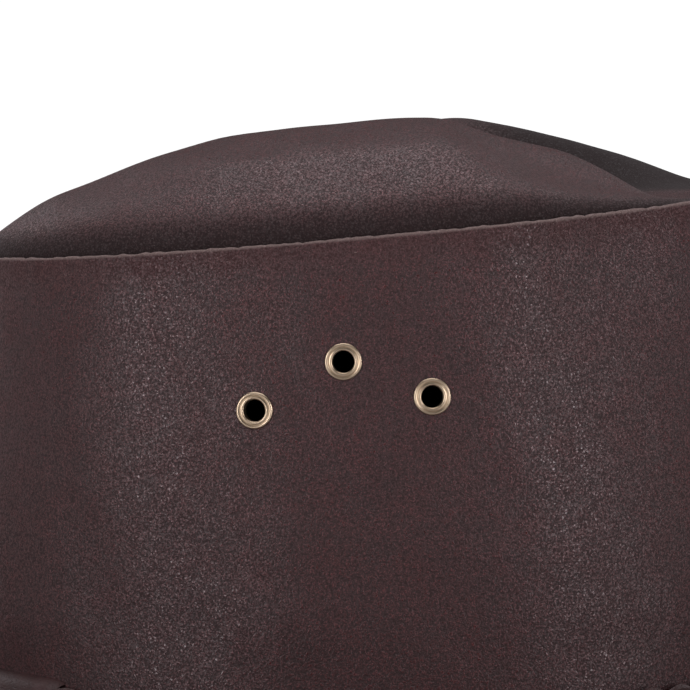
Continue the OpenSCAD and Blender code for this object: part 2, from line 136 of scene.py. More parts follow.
def ease(v):
    """Runs softly from 0 at 0 to 1 at 1."""
    return (1 - np.cos(np.pi * np.clip(v, 0, 1))) / 2


def smooth(v, a, b):
    """0 below a and 1 above b, with soft ends."""
    v = np.clip((np.asarray(v, float) - a) / (b - a), 0, 1)
    return v * v * (3 - 2 * v)


def from_front(t):
    """Degrees away from the front of the hat."""
    return np.abs((np.asarray(t) + 270) % 360 - 180)


def cos(t):
    return np.cos(np.radians(t))


def sin(t):
    return np.sin(np.radians(t))


def ripples(p, wavelength, seed, waves=9):
    """Soft random waves, about -1 to 1, at points in millimetres."""
    rng = np.random.default_rng(seed)
    total = 0
    for _ in range(waves):
        d = rng.normal(size=3)
        d *= 2 * np.pi / (wavelength * rng.uniform(0.7, 1.5)) / np.linalg.norm(d)
        total = total + np.sin(np.asarray(p) @ d + rng.uniform(0, 2 * np.pi))
    return total / math.sqrt(waves)


def oval(t, a, b, n):
    return ((np.abs(cos(t)) / a) ** n + (np.abs(sin(t)) / b) ** n) ** (-1 / n)


def wall_r(t, u):
    """How far out the crown's wall stands, from its foot at u = 0 to the tip seam at 1."""
    squeeze = (
        1
        + u * EGG * sin(t) * np.abs(cos(t))
        - u * u * PINCH / BASE_A * bump(from_front(t) - PINCH_AT, PINCH_HALF)
    )
    foot = oval(t, BASE_A, BASE_B, 2.12)
    seam = oval(t, BASE_A - TAPER, BASE_B - TAPER, 2.25)
    return squeeze * ((1 - u) * foot + u * seam)


def seam_level(y):
    return BRIM_Z + RISE - math.tan(math.radians(SLOPE)) * y


def seam_wave(t):
    """The prow at the front of the seam, and the dips where it is pinched."""
    return PROW * bump(from_front(t), PROW_HALF) - PROW / 3 * bump(
        from_front(t) - PINCH_AT, PINCH_HALF
    )


def seam_z(t):
    return seam_level(wall_r(t, 1) * sin(t)) + seam_wave(t)


def u_at(t, z):
    """The share of the way up the wall at height z."""
    return (z - UNDER_Z) / (seam_z(t) - UNDER_Z)


def at(t, r, z):
    t, r, z = np.broadcast_arrays(t, r, z)
    return np.stack([r * cos(t), r * sin(t), z], -1)


def wall(t, z, off=0.0):
    """A point at height z, set off sideways from the crown wall's outer face."""
    return at(t, wall_r(t, u_at(t, z)) + off, z)


def standing(point, normal):
    """The place at a point whose +Z runs along a normal."""
    side = Vector((0, 0, 1)).cross(normal).normalized()
    place = Matrix((side, normal.cross(side), normal)).transposed().to_4x4()
    place.translation = Vector(point)
    return place


def wall_frame(t, z):
    """The place on the crown's wall with +Z along its outward normal."""
    d = 0.5
    across = wall(t + d, z) - wall(t - d, z)
    up = wall(t, z + d) - wall(t, z - d)
    return standing(wall(t, z), Vector(np.cross(across, up)).normalized())


def vents(facing):
    """The places of the three vents on the side that faces a direction."""
    spread = math.degrees(math.asin(VENT_SPREAD / float(wall_r(180, 0.75))))
    places = []
    for k in (-1, 0, 1):
        t = facing + k * spread
        places.append(wall_frame(t, float(seam_z(t)) - VENT_DROP - abs(k) * VENT_STEP))
    return places


def tip_z(t, rho, r):
    """Height of the tip at a share rho of the way out to its edge at r. The puff falls away at
    the back and the front, and the crease and the pinches dip into it."""
    x, y = rho * r * cos(t), rho * r * sin(t)
    back = 0.26 * ease((y / BASE_B - 0.42) / 0.46)
    front = 0.98 * ease((-y / BASE_B - 0.355) / 0.5)
    falls = 1 - back - front
    pinch = bump(from_front(t) - PINCH_AT, PINCH_HALF * 1.25) * bump(rho - 0.86, 0.42)
    dips = (1 - CREASE / PUFF * bump(x, CREASE_HALF)) * (1 - 0.4 * pinch)
    dome = np.clip(1 - rho**2.25, 0, 1) ** 0.42
    return seam_level(y) + seam_wave(t) * rho**3 + PUFF * dome * falls * dips


def brim_r(t, inset=0.0):
    return oval(t, BRIM_A, BRIM_B, 2.05) - inset


def on_brim(x, y, w):
    """Where a point of the flat brim pattern, w above its underside, lies on the hat:
    the right side rolls up and the left is turned up along the fold."""
    x, y, w = (np.asarray(v, float) for v in np.broadcast_arrays(x, y, w))
    t = np.degrees(np.arctan2(y, x))
    share = np.clip((np.hypot(x, y) - 100) / 80, 0, 1) ** 2
    lift = share * (
        1.1 * (1 + np.sin(np.radians(3 * t + 40))) * smooth(-x, -60, 20)
        + 2.4 * bump(from_front(t) - 8, 40)
        + 1.2 * bump(t - 96, 30)
    )
    w = w + lift
    swing = np.arcsin(np.clip(-ROLL_START - x, 0, None) / (ROLL_R - w))
    flat_x = np.where(x > -ROLL_START, x, -ROLL_START - (ROLL_R - w) * np.sin(swing))
    flat_z = np.where(x > -ROLL_START, w, ROLL_R - (ROLL_R - w) * np.cos(swing))
    turn = COCK * np.clip((x - FOLD_X + FOLD_REACH) / (2 * FOLD_REACH), 0, 1)
    radius = BEND + FULL_Z - w
    bent_x = FOLD_X - FOLD_REACH + radius * np.sin(turn)
    bent_z = FULL_Z + BEND - radius * np.cos(turn)
    beyond = np.clip(x - FOLD_X - FOLD_REACH, 0, None)
    bent_x = bent_x + beyond * math.cos(COCK)
    bent_z = bent_z + beyond * math.sin(COCK)
    bent = x > FOLD_X - FOLD_REACH
    return np.stack([np.where(bent, bent_x, flat_x), y, np.where(bent, bent_z, flat_z)], -1)


def brim_turns(count):
    """Directions round the brim, closer together where its edge crosses the fold."""
    t = np.linspace(-180, 180, 20001)
    edge = brim_r(t) * cos(t)
    density = 1 + 5 * bump(edge - FOLD_X, 16) * (np.abs(t) < 90)
    total = np.cumsum(density)
    total = (total - total[0]) / (total[-1] - total[0])
    return np.interp(np.arange(count) / count, total, t)


# ---------------------------------------------------------------- meshes


def raw_mesh(name, shape):
    """A mesh from points, in millimetres, and faces."""
    points, faces = shape
    mesh = bpy.data.meshes.new(name)
    mesh.from_pydata((np.asarray(points) * MM).tolist(), [], faces)
    return mesh


def face_outwards(mesh):
    bm = bmesh.new()
    bm.from_mesh(mesh)
    bmesh.ops.recalc_face_normals(bm, faces=bm.faces)
    bm.to_mesh(mesh)
    bm.free()
    return mesh


def piece(name, shape, *rest, **more):
    """A finished piece from points and faces."""
    finish_piece(raw_mesh(name, shape), name, *rest, **more)


def finish_piece(mesh, name, material, body, slot, replaces=(), attributes=None, pattern=None):
    """Puts a mesh in the scene on a body of the hat, or on both across the fold. Every mesh
    carries its pattern's coordinates, in millimetres on the uncut leather, so that grain and
    weave stay with the piece when it bends."""
    face_outwards(mesh)
    if not len(mesh.polygons):
        raise RuntimeError(f"{name} has no faces")
    mesh.polygons.foreach_set("use_smooth", [True] * len(mesh.polygons))
    mesh.set_sharp_from_angle(angle=math.radians(50))
    mesh.materials.clear()
    mesh.materials.append(material)
    co = np.empty(3 * len(mesh.vertices), np.float32)
    mesh.vertices.foreach_get("co", co)
    co = co.reshape(-1, 3) / MM
    layer = mesh.attributes.new("pattern", "FLOAT_VECTOR", "POINT")
    flat = co if pattern is None else np.asarray(pattern, np.float32)
    layer.data.foreach_set("vector", np.ascontiguousarray(flat, np.float32).ravel())
    for key, make in (attributes or {}).items():
        layer = mesh.attributes.new(key, "FLOAT", "POINT")
        layer.data.foreach_set("value", np.asarray(make(co), np.float32))
    obj = bpy.data.objects.new(name, mesh)
    bpy.context.scene.collection.objects.link(obj)
    if body == "both":
        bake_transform(obj)
    else:
        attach(obj, body)
    if replaces:
        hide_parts(*replaces)


def skin(grid, ring=True, loop=True, first_pole=False, last_pole=False):
    """Points and faces over a grid of sections: ring joins the last section to the first,
    loop joins each section's last point to its first, and a pole gathers one end."""
    rows, cols = grid.shape[:2]
    points = grid.reshape(-1, 3)
    i = np.arange(rows if ring else rows - 1)[:, None]
    j = np.arange(cols if loop else cols - 1)[None, :]
    a = i * cols + j
    b = i * cols + (j + 1) % cols
    c = (i + 1) % rows * cols + (j + 1) % cols
    d = (i + 1) % rows * cols + j
    faces = np.stack([a, b, c, d], -1).reshape(-1, 4).tolist()
    if not ring and loop:
        faces.append(list(range(cols - 1, -1, -1)))
        faces.append([(rows - 1) * cols + k for k in range(cols)])
    if first_pole:
        faces.append([k * cols for k in range(rows)])
    if last_pole:
        faces.append([k * cols + cols - 1 for k in range(rows - 1, -1, -1)])
    return points, faces


def strip(width_low, width_high, thick_low, thick_high, steps=8, round_off=0.3):
    """A leather strap's closed section as (across, up) pairs, with rounded edges."""
    r = min(round_off, (thick_high - thick_low) * 0.45)
    corners = (
        (width_high - r, thick_low + r, -90),
        (width_high - r, thick_high - r, 0),
        (width_low + r, thick_high - r, 90),
        (width_low + r, thick_low + r, 180),
    )
    out = []
    for n, (x, z, start) in enumerate(corners):
        for k in range(4):
            a = start + 30 * k
            out.append((x + r * float(cos(a)), z + r * float(sin(a))))
        if n in (1, 3):
            (from_x, level), to_x = out[-1], corners[(n + 1) % 4][0]
            for k in range(1, steps):
                out.append((from_x + (to_x - from_x) * (k / steps), level))
    return np.array(out)


def turned(profile, place, steps):
    """Points and faces of a profile of (radius, height) pairs turned about a place's +Z."""
    t = np.arange(steps) * 360 / steps
    profile = np.asarray(profile, float)
    solid = profile[0][0] < 1e-6 and profile[-1][0] < 1e-6
    if solid:
        profile = profile.copy()
        profile[[0, -1], 0] = 0.02
    grid = at(t[:, None], profile[None, :, 0], profile[None, :, 1])
    grid = np.einsum("ij,abj->abi", np.array(place.to_3x3()), grid)
    grid = grid + np.array(place.translation)
    return skin(grid, loop=not solid, first_pole=solid, last_pole=solid)


def together(*parts):
    points, faces, count = [], [], 0
    for p, f in parts:
        points.append(np.asarray(p))
        faces += [[k + count for k in face] for face in f]
        count += len(p)
    return np.concatenate(points), faces


# ---------------------------------------------------------------- node trees


class Value:
    """A node socket that takes part in ordinary arithmetic."""

    def __init__(self, graph, socket):
        self.graph, self.socket = graph, socket

    def math(self, operation, *others):
        return self.graph.add(
            "ShaderNodeMath", {"operation": operation}, dict(enumerate((self, *others)))
        )

    def __add__(self, other):
        return self.math("ADD", other)

    def __sub__(self, other):
        return self.math("SUBTRACT", other)

    def __rsub__(self, other):
        return self.graph.number(other).math("SUBTRACT", self)

    def __mul__(self, other):
        return self.math("MULTIPLY", other)

    def __neg__(self):
        return self.math("MULTIPLY", -1.0)

    __radd__, __rmul__ = __add__, __mul__

    def step(self, a, b):
        """0 below a and 1 above b, with soft ends."""
        return self.graph.add(
            "ShaderNodeMapRange",
            {"interpolation_type": "SMOOTHSTEP", "clamp": True},
            {"Value": self, "From Min": a, "From Max": b, "To Min": 0.0, "To Max": 1.0},
        )


class Graph:
    """Adds nodes to a tree."""

    def __init__(self, tree):
        self.tree = tree

    def add(self, kind, settings=None, sockets=None, out=0):
        """Adds a node of a type, makes its settings, fills its sockets and gives an output."""
        node = self.tree.nodes.new(kind)
        for key, value in (settings or {}).items():
            setattr(node, key, value)
        for key, value in (sockets or {}).items():
            if isinstance(value, Value):
                self.tree.links.new(value.socket, node.inputs[key])
            elif value is not None:
                node.inputs[key].default_value = value
        return Value(self, node.outputs[out]) if len(node.outputs) else node

    def number(self, value):
        return self.add("ShaderNodeMath", {"operation": "ADD"}, {0: float(value), 1: 0.0})

    def mix(self, factor, a, b):
        a, b = (v if isinstance(v, Value) else (*v[:3], 1.0) for v in (a, b))
        return self.add("ShaderNodeMix", {"data_type": "RGBA"}, {0: factor, 6: a, 7: b}, out=2)

    def place(self):
        return self.add("ShaderNodeAttribute", {"attribute_name": "pattern"}, out="Vector")

    def attribute(self, name):
        return self.add("ShaderNodeAttribute", {"attribute_name": name}, out="Fac")

    def noise(self, size, detail=2.0, rough=0.5, stretch=(1, 1, 1), at=None):
        """Noise whose blobs are about size millimetres wide, from 0 to 1."""
        where = self.add("ShaderNodeMapping", sockets={0: at or self.place(), "Scale": stretch})
        return self.add("ShaderNodeTexNoise", sockets={
            "Vector": where, "Scale": 1 / size, "Detail": detail, "Roughness": rough})

    def cells(self, size, feature="F1", at=None):
        """Distance to the middle or the edge of the nearest cell, size millimetres wide."""
        return self.add("ShaderNodeTexVoronoi", {"feature": feature}, {
            "Vector": at or self.place(), "Scale": 1 / size})

    def bump(self, height, depth, strength=1.0, normal=None):
        """Raises the surface by height times depth millimetres."""
        return self.add("ShaderNodeBump", sockets={
            "Strength": strength, "Distance": depth * MM, "Height": height, "Normal": normal})

    def surface(self, **sockets):
        shader = self.add("ShaderNodeBsdfPrincipled", sockets=sockets)
        self.add("ShaderNodeOutputMaterial", sockets={"Surface": shader})


def material(name, colour):
    mat = bpy.data.materials.get(name) or bpy.data.materials.new(name)
    mat.use_nodes = True
    mat.node_tree.nodes.clear()
    mat.diffuse_color = (*colour[:3], 1)
    return Graph(mat.node_tree), mat


def shade(colour, factor):
    return tuple(c * factor for c in colour[:3])


def grained_leather(name, colour, look, seam=False, worn=0.0):
    """Oiled leather with a fine curly grain that catches the light, mottled colour, dark pores and
    light specks, partly the grain's own and partly painted glints. seam reddens it in a band below
    the seam, paints shade into the tip's dip beside the seam and over the front of the crease's
    left side, and shows the raw cut edge and tan flecks, from the piece's own attributes."""
    g, mat = material(name, colour)
    size = look.grain_size
    wander = g.add("ShaderNodeTexNoise", sockets={
        "Vector": g.place(), "Scale": 0.9 / size, "Detail": 1.0}, out=1)
    drift = g.add("ShaderNodeVectorMath", {"operation": "SCALE"}, {0: wander, "Scale": size * 1.1})
    moved = g.add("ShaderNodeVectorMath", {"operation": "ADD"}, {0: g.place(), 1: drift})
    pebble = g.cells(size, "DISTANCE_TO_EDGE", at=moved).step(0.0, 0.34)
    curls = g.noise(size * 0.85, 2.0, 0.55, at=moved).step(0.38, 0.62)
    speck = g.noise(size * 0.5, 2.0, 0.6)
    cloud = g.noise(6.5, 3.0, 0.6)
    broad = g.noise(30.0, 2.0)
    red = (colour[0] * 1.42, colour[1] * 0.86, colour[2] * 0.84)
    grey = (colour[0] * 1.18, colour[1] * 1.5, colour[2] * 1.62)
    tone = g.mix(cloud.step(0.34, 0.68), colour, red)
    tone = g.mix(broad.step(0.42, 0.7) * 0.35, tone, grey)
    tone = g.mix((1 - pebble) * 0.6, tone, shade(colour, 0.42))
    tone = g.mix((1 - curls) * 0.75, tone, shade(colour, 0.36))
    # Light grey specks in the grain's colour: partly the grain's own pale specks, partly painted
    # glints on the pebbles' tops.
    light = curls * speck.step(0.46, 0.66) * look.speckle
    tone = g.mix(light * 0.7, tone, shade(grey, 3.3))
    rough = look.roughness + 0.3 * (1 - pebble) + 0.12 * (cloud - 0.5) - 0.26 * (curls - 0.5)
    height = pebble * 0.5 + curls * 0.75 + speck * 0.15
    if seam:
        near = g.attribute("seam_mm")
        raw = g.attribute("raw_edge")
        rim = 1 - near.step(2.0, 9.0)
        tone = g.mix(rim * (0.1 + 0.6 * cloud), tone, shade((colour[0] * 1.2, *colour[1:3]), 0.9))
        # Painted shade: the tip's dip beside the seam and the front of the crease's left side are
        # darkened in colour, and made rougher.
        tone = g.mix(g.attribute("valley"), tone, shade(colour, 0.2))
        rough = rough + 0.45 * g.attribute("valley")
        fleck = (1 - near.step(3.0, 9.0)) * g.noise(0.5, 2.0).step(0.68, 0.76)
        tone = g.mix(fleck * 0.7, tone, look.raw)
        tone = g.mix(raw * (0.35 + 0.6 * speck), tone, look.raw)
        rough = rough + 0.12 * rim + 0.2 * raw
    if worn:
        tone = g.mix(g.noise(1.6, 4.0, 0.7).step(0.56, 0.74) * worn, tone, shade(grey, 1.8))
    folds = g.bump(g.noise(9.0, 3.0), 0.9, 0.35)
    normal = g.bump(height, look.grain_depth, 1.0, folds)
    g.surface(**{
        "Base Color": tone, "Roughness": rough, "Normal": normal, "Specular IOR Level": 0.47})
    return mat


def smooth_leather(name, colour, roughness, wear):
    """Fine-grained leather for straps and linings, with pores and rubbed high spots."""
    g, mat = material(name, colour)
    pores = g.cells(0.6, "F1").step(0.12, 0.42)
    wrinkle = g.noise(1.3, 4.0, 0.6, (1, 1, 2.2))
    cloud = g.noise(9.0, 3.0, 0.6)
    tone = g.mix(cloud.step(0.3, 0.72), shade(colour, 0.7), shade(colour, 1.25))
    tone = g.mix((1 - pores) * 0.6, tone, shade(colour, 0.35))
    tone = g.mix(g.noise(2.2, 5.0, 0.72).step(0.58, 0.78) * wear, tone, shade(colour, 2.6))
    rough = roughness + 0.25 * (cloud - 0.5) + 0.12 * (1 - pores)
    normal = g.bump(pores * 0.5 + wrinkle, 0.12, 1.0)
    g.surface(**{
        "Base Color": tone, "Roughness": rough, "Normal": normal, "Specular IOR Level": 0.28})
    return mat


def antique_brass(name, colour):
    """Brass that has browned in its hollows and is rubbed bright where it stands proud."""
    g, mat = material(name, colour)
    worn = g.add("ShaderNodeNewGeometry", out="Pointiness")
    patina = g.noise(1.1, 4.0, 0.65).step(0.35, 0.72)
    hollow = 1 - worn.step(0.47, 0.53)
    tone = g.mix(patina * 0.25, colour, shade((colour[0], colour[1] * 0.92, colour[2] * 0.7), 0.6))
    tone = g.mix(hollow * 0.7, tone, shade((colour[0], colour[1] * 0.8, colour[2] * 0.5), 0.3))
    scratch = g.noise(0.3, 3.0, 0.6, (1, 1, 5))
    rough = 0.22 + 0.1 * patina + 0.06 * scratch + 0.15 * hollow
    g.surface(**{
        "Base Color": tone, "Metallic": 1.0, "Roughness": rough,
        "Normal": g.bump(scratch, 0.003, 0.5),
    })
    return mat


def thread(name, colour):
    """Waxed thread: a fine twist with a low sheen."""
    g, mat = material(name, colour)
    x = g.add("ShaderNodeSeparateXYZ", sockets={0: g.place()}, out=2)
    y = g.add("ShaderNodeSeparateXYZ", sockets={0: g.place()}, out=1)
    ply = ((x + y) * 9.0).math("SINE") * 0.5 + 0.5
    fuzz = g.noise(0.2, 3.0)
    tone = g.mix(ply * 0.5 + fuzz * 0.4, shade(colour, 0.5), shade(colour, 1.3))
    g.surface(**{
        "Base Color": tone, "Roughness": 0.5 + 0.2 * fuzz, "Normal": g.bump(ply, 0.06, 0.8)})
    return mat


def woven(name, colour, pitch=0.5, rough=0.85):
    """Plain-woven tape or ribbon."""
    g, mat = material(name, colour)
    k = 2 * math.pi / pitch
    split = [g.add("ShaderNodeSeparateXYZ", sockets={0: g.place()}, out=n) for n in range(3)]
    warp = ((split[0] + split[1]) * k).math("SINE")
    weft = (split[2] * k).math("SINE")
    over = warp * weft * 0.5 + 0.5
    fuzz = g.noise(0.5, 4.0)
    tone = g.mix(over * 0.6 + fuzz * 0.3, shade(colour, 0.45), shade(colour, 1.35))
    g.surface(**{
        "Base Color": tone, "Roughness": rough - 0.1 * over, "Normal": g.bump(over, 0.1, 0.8)})
    return mat


def drawn_steel(name, colour):
    g, mat = material(name, colour)
    streak = g.noise(0.6, 3.0, 0.6, (1, 1, 6))
    g.surface(**{
        "Base Color": g.mix(streak, shade(colour, 0.75), colour), "Metallic": 1.0,
        "Roughness": 0.3 + 0.2 * streak, "Normal": g.bump(streak, 0.01, 0.5)})
    return mat


def pressed_fibre(name, colour):
    g, mat = material(name, colour)
    fibres = g.noise(0.8, 5.0, 0.7, (1, 3, 1))
    g.surface(**{
        "Base Color": g.mix(fibres, shade(colour, 0.6), shade(colour, 1.15)),
        "Roughness": 0.8 + 0.15 * fibres, "Normal": g.bump(fibres, 0.15, 0.8)})
    return mat


def pale_floor(name, colour):
    g, mat = material(name, colour)
    soft = g.noise(260.0, 2.0)
    g.surface(**{
        "Base Color": g.mix(soft, shade(colour, 0.985), colour),
        "Roughness": 0.75 + 0.1 * soft})
    return mat


# ---------------------------------------------------------------- geometry node trees


def geometry_tree(name, inputs):
    """An empty tree with a geometry input and output, and named inputs for its sizes."""
    tree = bpy.data.node_groups.new(name, "GeometryNodeTree")
    tree.interface.new_socket("Geometry", in_out="INPUT", socket_type="NodeSocketGeometry")
    tree.interface.new_socket("Geometry", in_out="OUTPUT", socket_type="NodeSocketGeometry")
    for label, kind in inputs:
        tree.interface.new_socket(label, in_out="INPUT", socket_type="NodeSocket" + kind)
    g = Graph(tree)
    group = tree.nodes.new("NodeGroupInput")
    return g, {s.name: Value(g, s) for s in group.outputs if s.name}


def close_tree(g, geometry, mat):
    """Every tree ends in real geometry with its material set."""
    smoothed = g.add("GeometryNodeSetShadeSmooth", sockets={0: geometry})
    real = g.add("GeometryNodeRealizeInstances", sockets={0: smoothed})
    dressed = g.add("GeometryNodeSetMaterial", sockets={"Geometry": real, "Material": mat})
    out = g.tree.nodes.new("NodeGroupOutput")
    g.tree.links.new(dressed.socket, out.inputs[0])


def grown(name, points, closed, tree, values, attributes=None):
    """Runs a geometry tree on a path through points, in millimetres, and gives its mesh."""
    n = len(points)
    edges = [(k, (k + 1) % n) for k in range(n if closed else n - 1)]
    mesh = bpy.data.meshes.new(name + "_path")
    mesh.from_pydata((np.asarray(points) * MM).tolist(), edges, [])
    for key, vectors in (attributes or {}).items():
        layer = mesh.attributes.new(key, "FLOAT_VECTOR", "POINT")
        layer.data.foreach_set("vector", np.asarray(vectors, np.float32).ravel())
    guide = bpy.data.objects.new(name + "_path", mesh)
    bpy.context.scene.collection.objects.link(guide)
    modifier = guide.modifiers.new(tree.name, "NODES")
    modifier.node_group = tree
    by_name = {s.name: s.identifier for s in tree.interface.items_tree if s.in_out == "INPUT"}
    for key, value in values.items():
        modifier[by_name[key]] = value
    guide.data.update()
    depsgraph = bpy.context.evaluated_depsgraph_get()
    result = bpy.data.meshes.new_from_object(guide.evaluated_get(depsgraph))
    bpy.data.objects.remove(guide)
    return result


def stitch_tree(mat):
    """Stitches laid end to end along a path, each a thread that dips at its ends."""
    g, given = geometry_tree("stitches", [
        ("Pitch", "Float"), ("Length", "Float"), ("Thickness", "Float"), ("Lean", "Float")])
    path = g.add("GeometryNodeMeshToCurve", sockets={0: given["Geometry"]})
    spaced = g.add("GeometryNodeResampleCurve", {"mode": "LENGTH"}, {
        "Curve": path, "Length": given["Pitch"]})
    bead = g.add("GeometryNodeMeshUVSphere", sockets={"Segments": 8, "Rings": 6, "Radius": 1.0})
    size = g.add("ShaderNodeCombineXYZ", sockets={
        0: given["Length"] * 0.5, 1: given["Thickness"] * 0.5, 2: given["Thickness"] * 0.5})
    bead = g.add("GeometryNodeTransform", sockets={"Geometry": bead, "Scale": size})
    along = g.add("FunctionNodeAlignRotationToVector", {"axis": "X"}, {
        "Vector": g.add("GeometryNodeInputTangent")})
    lean = g.add("FunctionNodeRandomValue", {"data_type": "FLOAT"}, {
        2: -given["Lean"], 3: given["Lean"], "Seed": 7}, out=1)
    tilt = g.add("FunctionNodeRotateRotation", {"rotation_space": "LOCAL"}, {
        0: along, 1: g.add("ShaderNodeCombineXYZ", sockets={2: lean})})
    laid = g.add("GeometryNodeInstanceOnPoints", sockets={
        "Points": spaced, "Instance": bead, "Rotation": tilt})
    close_tree(g, laid, mat)
    return g.tree


def plait_tree(mat):
    """A flat plait of three strands along a closed path with an outward direction."""
    g, given = geometry_tree("plait", [
        ("Turns", "Float"), ("Half Height", "Float"), ("Half Depth", "Float"),
        ("Strand Width", "Float"), ("Strand Thickness", "Float")])
    path = g.add("GeometryNodeMeshToCurve", sockets={0: given["Geometry"]})
    fine = g.add("GeometryNodeResampleCurve", {"mode": "COUNT"}, {"Curve": path, "Count": 1500})
    share = g.add("GeometryNodeSplineParameter", out="Factor")
    outward = g.add(
        "GeometryNodeInputNamedAttribute", {"data_type": "FLOAT_VECTOR"}, {"Name": "outward"})
    profile = g.add("GeometryNodeCurvePrimitiveCircle", sockets={"Resolution": 12, "Radius": 0.5})
    size = g.add("ShaderNodeCombineXYZ", sockets={
        0: given["Strand Thickness"], 1: given["Strand Width"], 2: 1.0})
    profile = g.add("GeometryNodeTransform", sockets={"Geometry": profile, "Scale": size})
    join = g.tree.nodes.new("GeometryNodeJoinGeometry")
    for k in range(3):
        phase = (share * given["Turns"] + k / 3) * (2 * math.pi)
        rise = g.add("ShaderNodeCombineXYZ", sockets={
            2: phase.math("SINE") * given["Half Height"]})
        depth = (phase * 2.0).math("SINE") * given["Half Depth"]
        push = g.add("ShaderNodeVectorMath", {"operation": "SCALE"}, {0: outward, "Scale": depth})
        offset = g.add("ShaderNodeVectorMath", {"operation": "ADD"}, {0: rise, 1: push})
        strand = g.add("GeometryNodeSetPosition", sockets={"Geometry": fine, "Offset": offset})
        strand = g.add("GeometryNodeSetCurveNormal", {"mode": "Z_UP"}, {"Curve": strand})
        body = g.add("GeometryNodeCurveToMesh", sockets={
            "Curve": strand, "Profile Curve": profile, "Fill Caps": True})
        g.tree.links.new(body.socket, join.inputs[0])
    close_tree(g, Value(g, join.outputs[0]), mat)
    return g.tree


def fitting_tree(mat):
    """A turned fitting set at each point of a path, standing along its outward direction."""
    g, given = geometry_tree("fittings", [("Fitting", "Object")])
    outward = g.add(
        "GeometryNodeInputNamedAttribute", {"data_type": "FLOAT_VECTOR"}, {"Name": "outward"})
    model = g.add("GeometryNodeObjectInfo", sockets={"Object": given["Fitting"]}, out="Geometry")
    stand = g.add("FunctionNodeAlignRotationToVector", {"axis": "Z"}, {"Vector": outward})
    laid = g.add("GeometryNodeInstanceOnPoints", sockets={
        "Points": given["Geometry"], "Instance": model, "Rotation": stand})
    close_tree(g, laid, mat)
    return g.tree


# ---------------------------------------------------------------- what a user may change


class HatLook(bpy.types.PropertyGroup):
    """Colours and surface of the leathers and fittings."""

    crown: FloatVectorProperty(
        name="Crown Leather", description="Colour of the oiled crown and brim leather",
        subtype="COLOR", min=0, max=1, default=(0.036, 0.0098, 0.0097))
    strap: FloatVectorProperty(
        name="Strap Leather", description="Colour of the binding, plait and stay",
        subtype="COLOR", min=0, max=1, default=(0.034, 0.0145, 0.014))
    under: FloatVectorProperty(
        name="Lower Leather", description="Colour of the brim's lower leather",
        subtype="COLOR", min=0, max=1, default=(0.06, 0.03, 0.025))
    lining: FloatVectorProperty(
        name="Sweatband Leather", description="Colour of the sweatband",
        subtype="COLOR", min=0, max=1, default=(0.085, 0.042, 0.024))
    raw: FloatVectorProperty(
        name="Raw Edge", description="Colour of the crown's cut edge",
        subtype="COLOR", min=0, max=1, default=(0.17, 0.125, 0.115))
    brass: FloatVectorProperty(
        name="Antique Brass", description="Colour of the eyelets and the press stud",
        subtype="COLOR", min=0, max=1, default=(0.58, 0.46, 0.335))
    thread: FloatVectorProperty(
        name="Thread", description="Colour of the waxed thread",
        subtype="COLOR", min=0, max=1, default=(0.035, 0.02, 0.016))
    tape: FloatVectorProperty(
        name="Tape", description="Colour of the seam tape and the small bow",
        subtype="COLOR", min=0, max=1, default=(0.012, 0.010, 0.010))
    grain_size: FloatProperty(
        name="Grain Size", description="Width of one pebble of the grain, in millimetres",
        min=0.3, max=3, default=0.66)
    grain_depth: FloatProperty(
        name="Grain Depth", description="Height of the grain, in millimetres",
        min=0, max=0.6, default=0.058)
    # The light grey specks are partly the grain's own colour and partly painted glints.
    speckle: FloatProperty(
        name="Speckle", description="Strength of the light specks in the grain",
        subtype="FACTOR", min=0, max=1, default=0.85)
    roughness: FloatProperty(
        name="Roughness", description="Roughness of the oiled leather",
        subtype="FACTOR", min=0, max=1, default=0.37)


class HatWork(bpy.types.PropertyGroup):
    """Sizes of the handwork."""

    slack: FloatProperty(
        name="Slack", description="How far the crown's leather strays from its pattern",
        subtype="DISTANCE", unit="LENGTH", min=0, max=0.002, default=0.0005)
    stitch_length: FloatProperty(
        name="Stitch Length", description="Length of one stitch",
        subtype="DISTANCE", unit="LENGTH", min=0.001, max=0.008, default=0.0029)
    stitch_pitch: FloatProperty(
        name="Stitch Pitch", description="Distance from one stitch to the next",
        subtype="DISTANCE", unit="LENGTH", min=0.0015, max=0.01, default=0.0037)
    thread_width: FloatProperty(
        name="Thread Width", description="Thickness of the thread",
        subtype="DISTANCE", unit="LENGTH", min=0.0003, max=0.0015, default=0.0007)
    plait_turns: IntProperty(
        name="Plait Turns", description="Full turns of each strand round the crown",
        min=12, max=48, default=27)


def palette():
    """Every material of the hat, made once."""
    look = bpy.context.scene.hat_look
    makers = {
        "crown": ("oiled_crown_leather", grained_leather, look.crown, look, True),
        "brim": ("oiled_brim_leather", grained_leather, look.crown, look, False, 0.12),
        "under": ("brim_lining_leather", smooth_leather, look.under, 0.66, 0.2),
        "strap": ("strap_leather", smooth_leather, look.strap, 0.5, 0.3),
        "lining": ("tan_sweatband_leather", smooth_leather, look.lining, 0.48, 0.25),
        "brass": ("browned_brass", antique_brass, look.brass),
        "thread": ("waxed_thread", thread, look.thread),
        "tape": ("woven_tape", woven, look.tape),
        "reed": ("waxed_reed_cord", woven, (0.5, 0.46, 0.38), 0.8, 0.6),
        "wire": ("drawn_edge_wire", drawn_steel, (0.55, 0.55, 0.56)),
        "fibre": ("pressed_fibre_board", pressed_fibre, (0.3, 0.25, 0.18)),
    }
    return {key: bpy.data.materials.get(name) or make(name, *rest)
            for key, (name, make, *rest) in makers.items()}


# ---------------------------------------------------------------- the crown


def seam_distance(co):
    t = np.degrees(np.arctan2(co[:, 1], co[:, 0]))
    return np.abs(seam_z(t) + LIP - co[:, 2])


def raw_edge(co):
    """1 on the cut edge at the top of the crown's side."""
    t = np.degrees(np.arctan2(co[:, 1], co[:, 0]))
    return smooth(co[:, 2] - seam_z(t) - LIP, -0.75, -0.3)


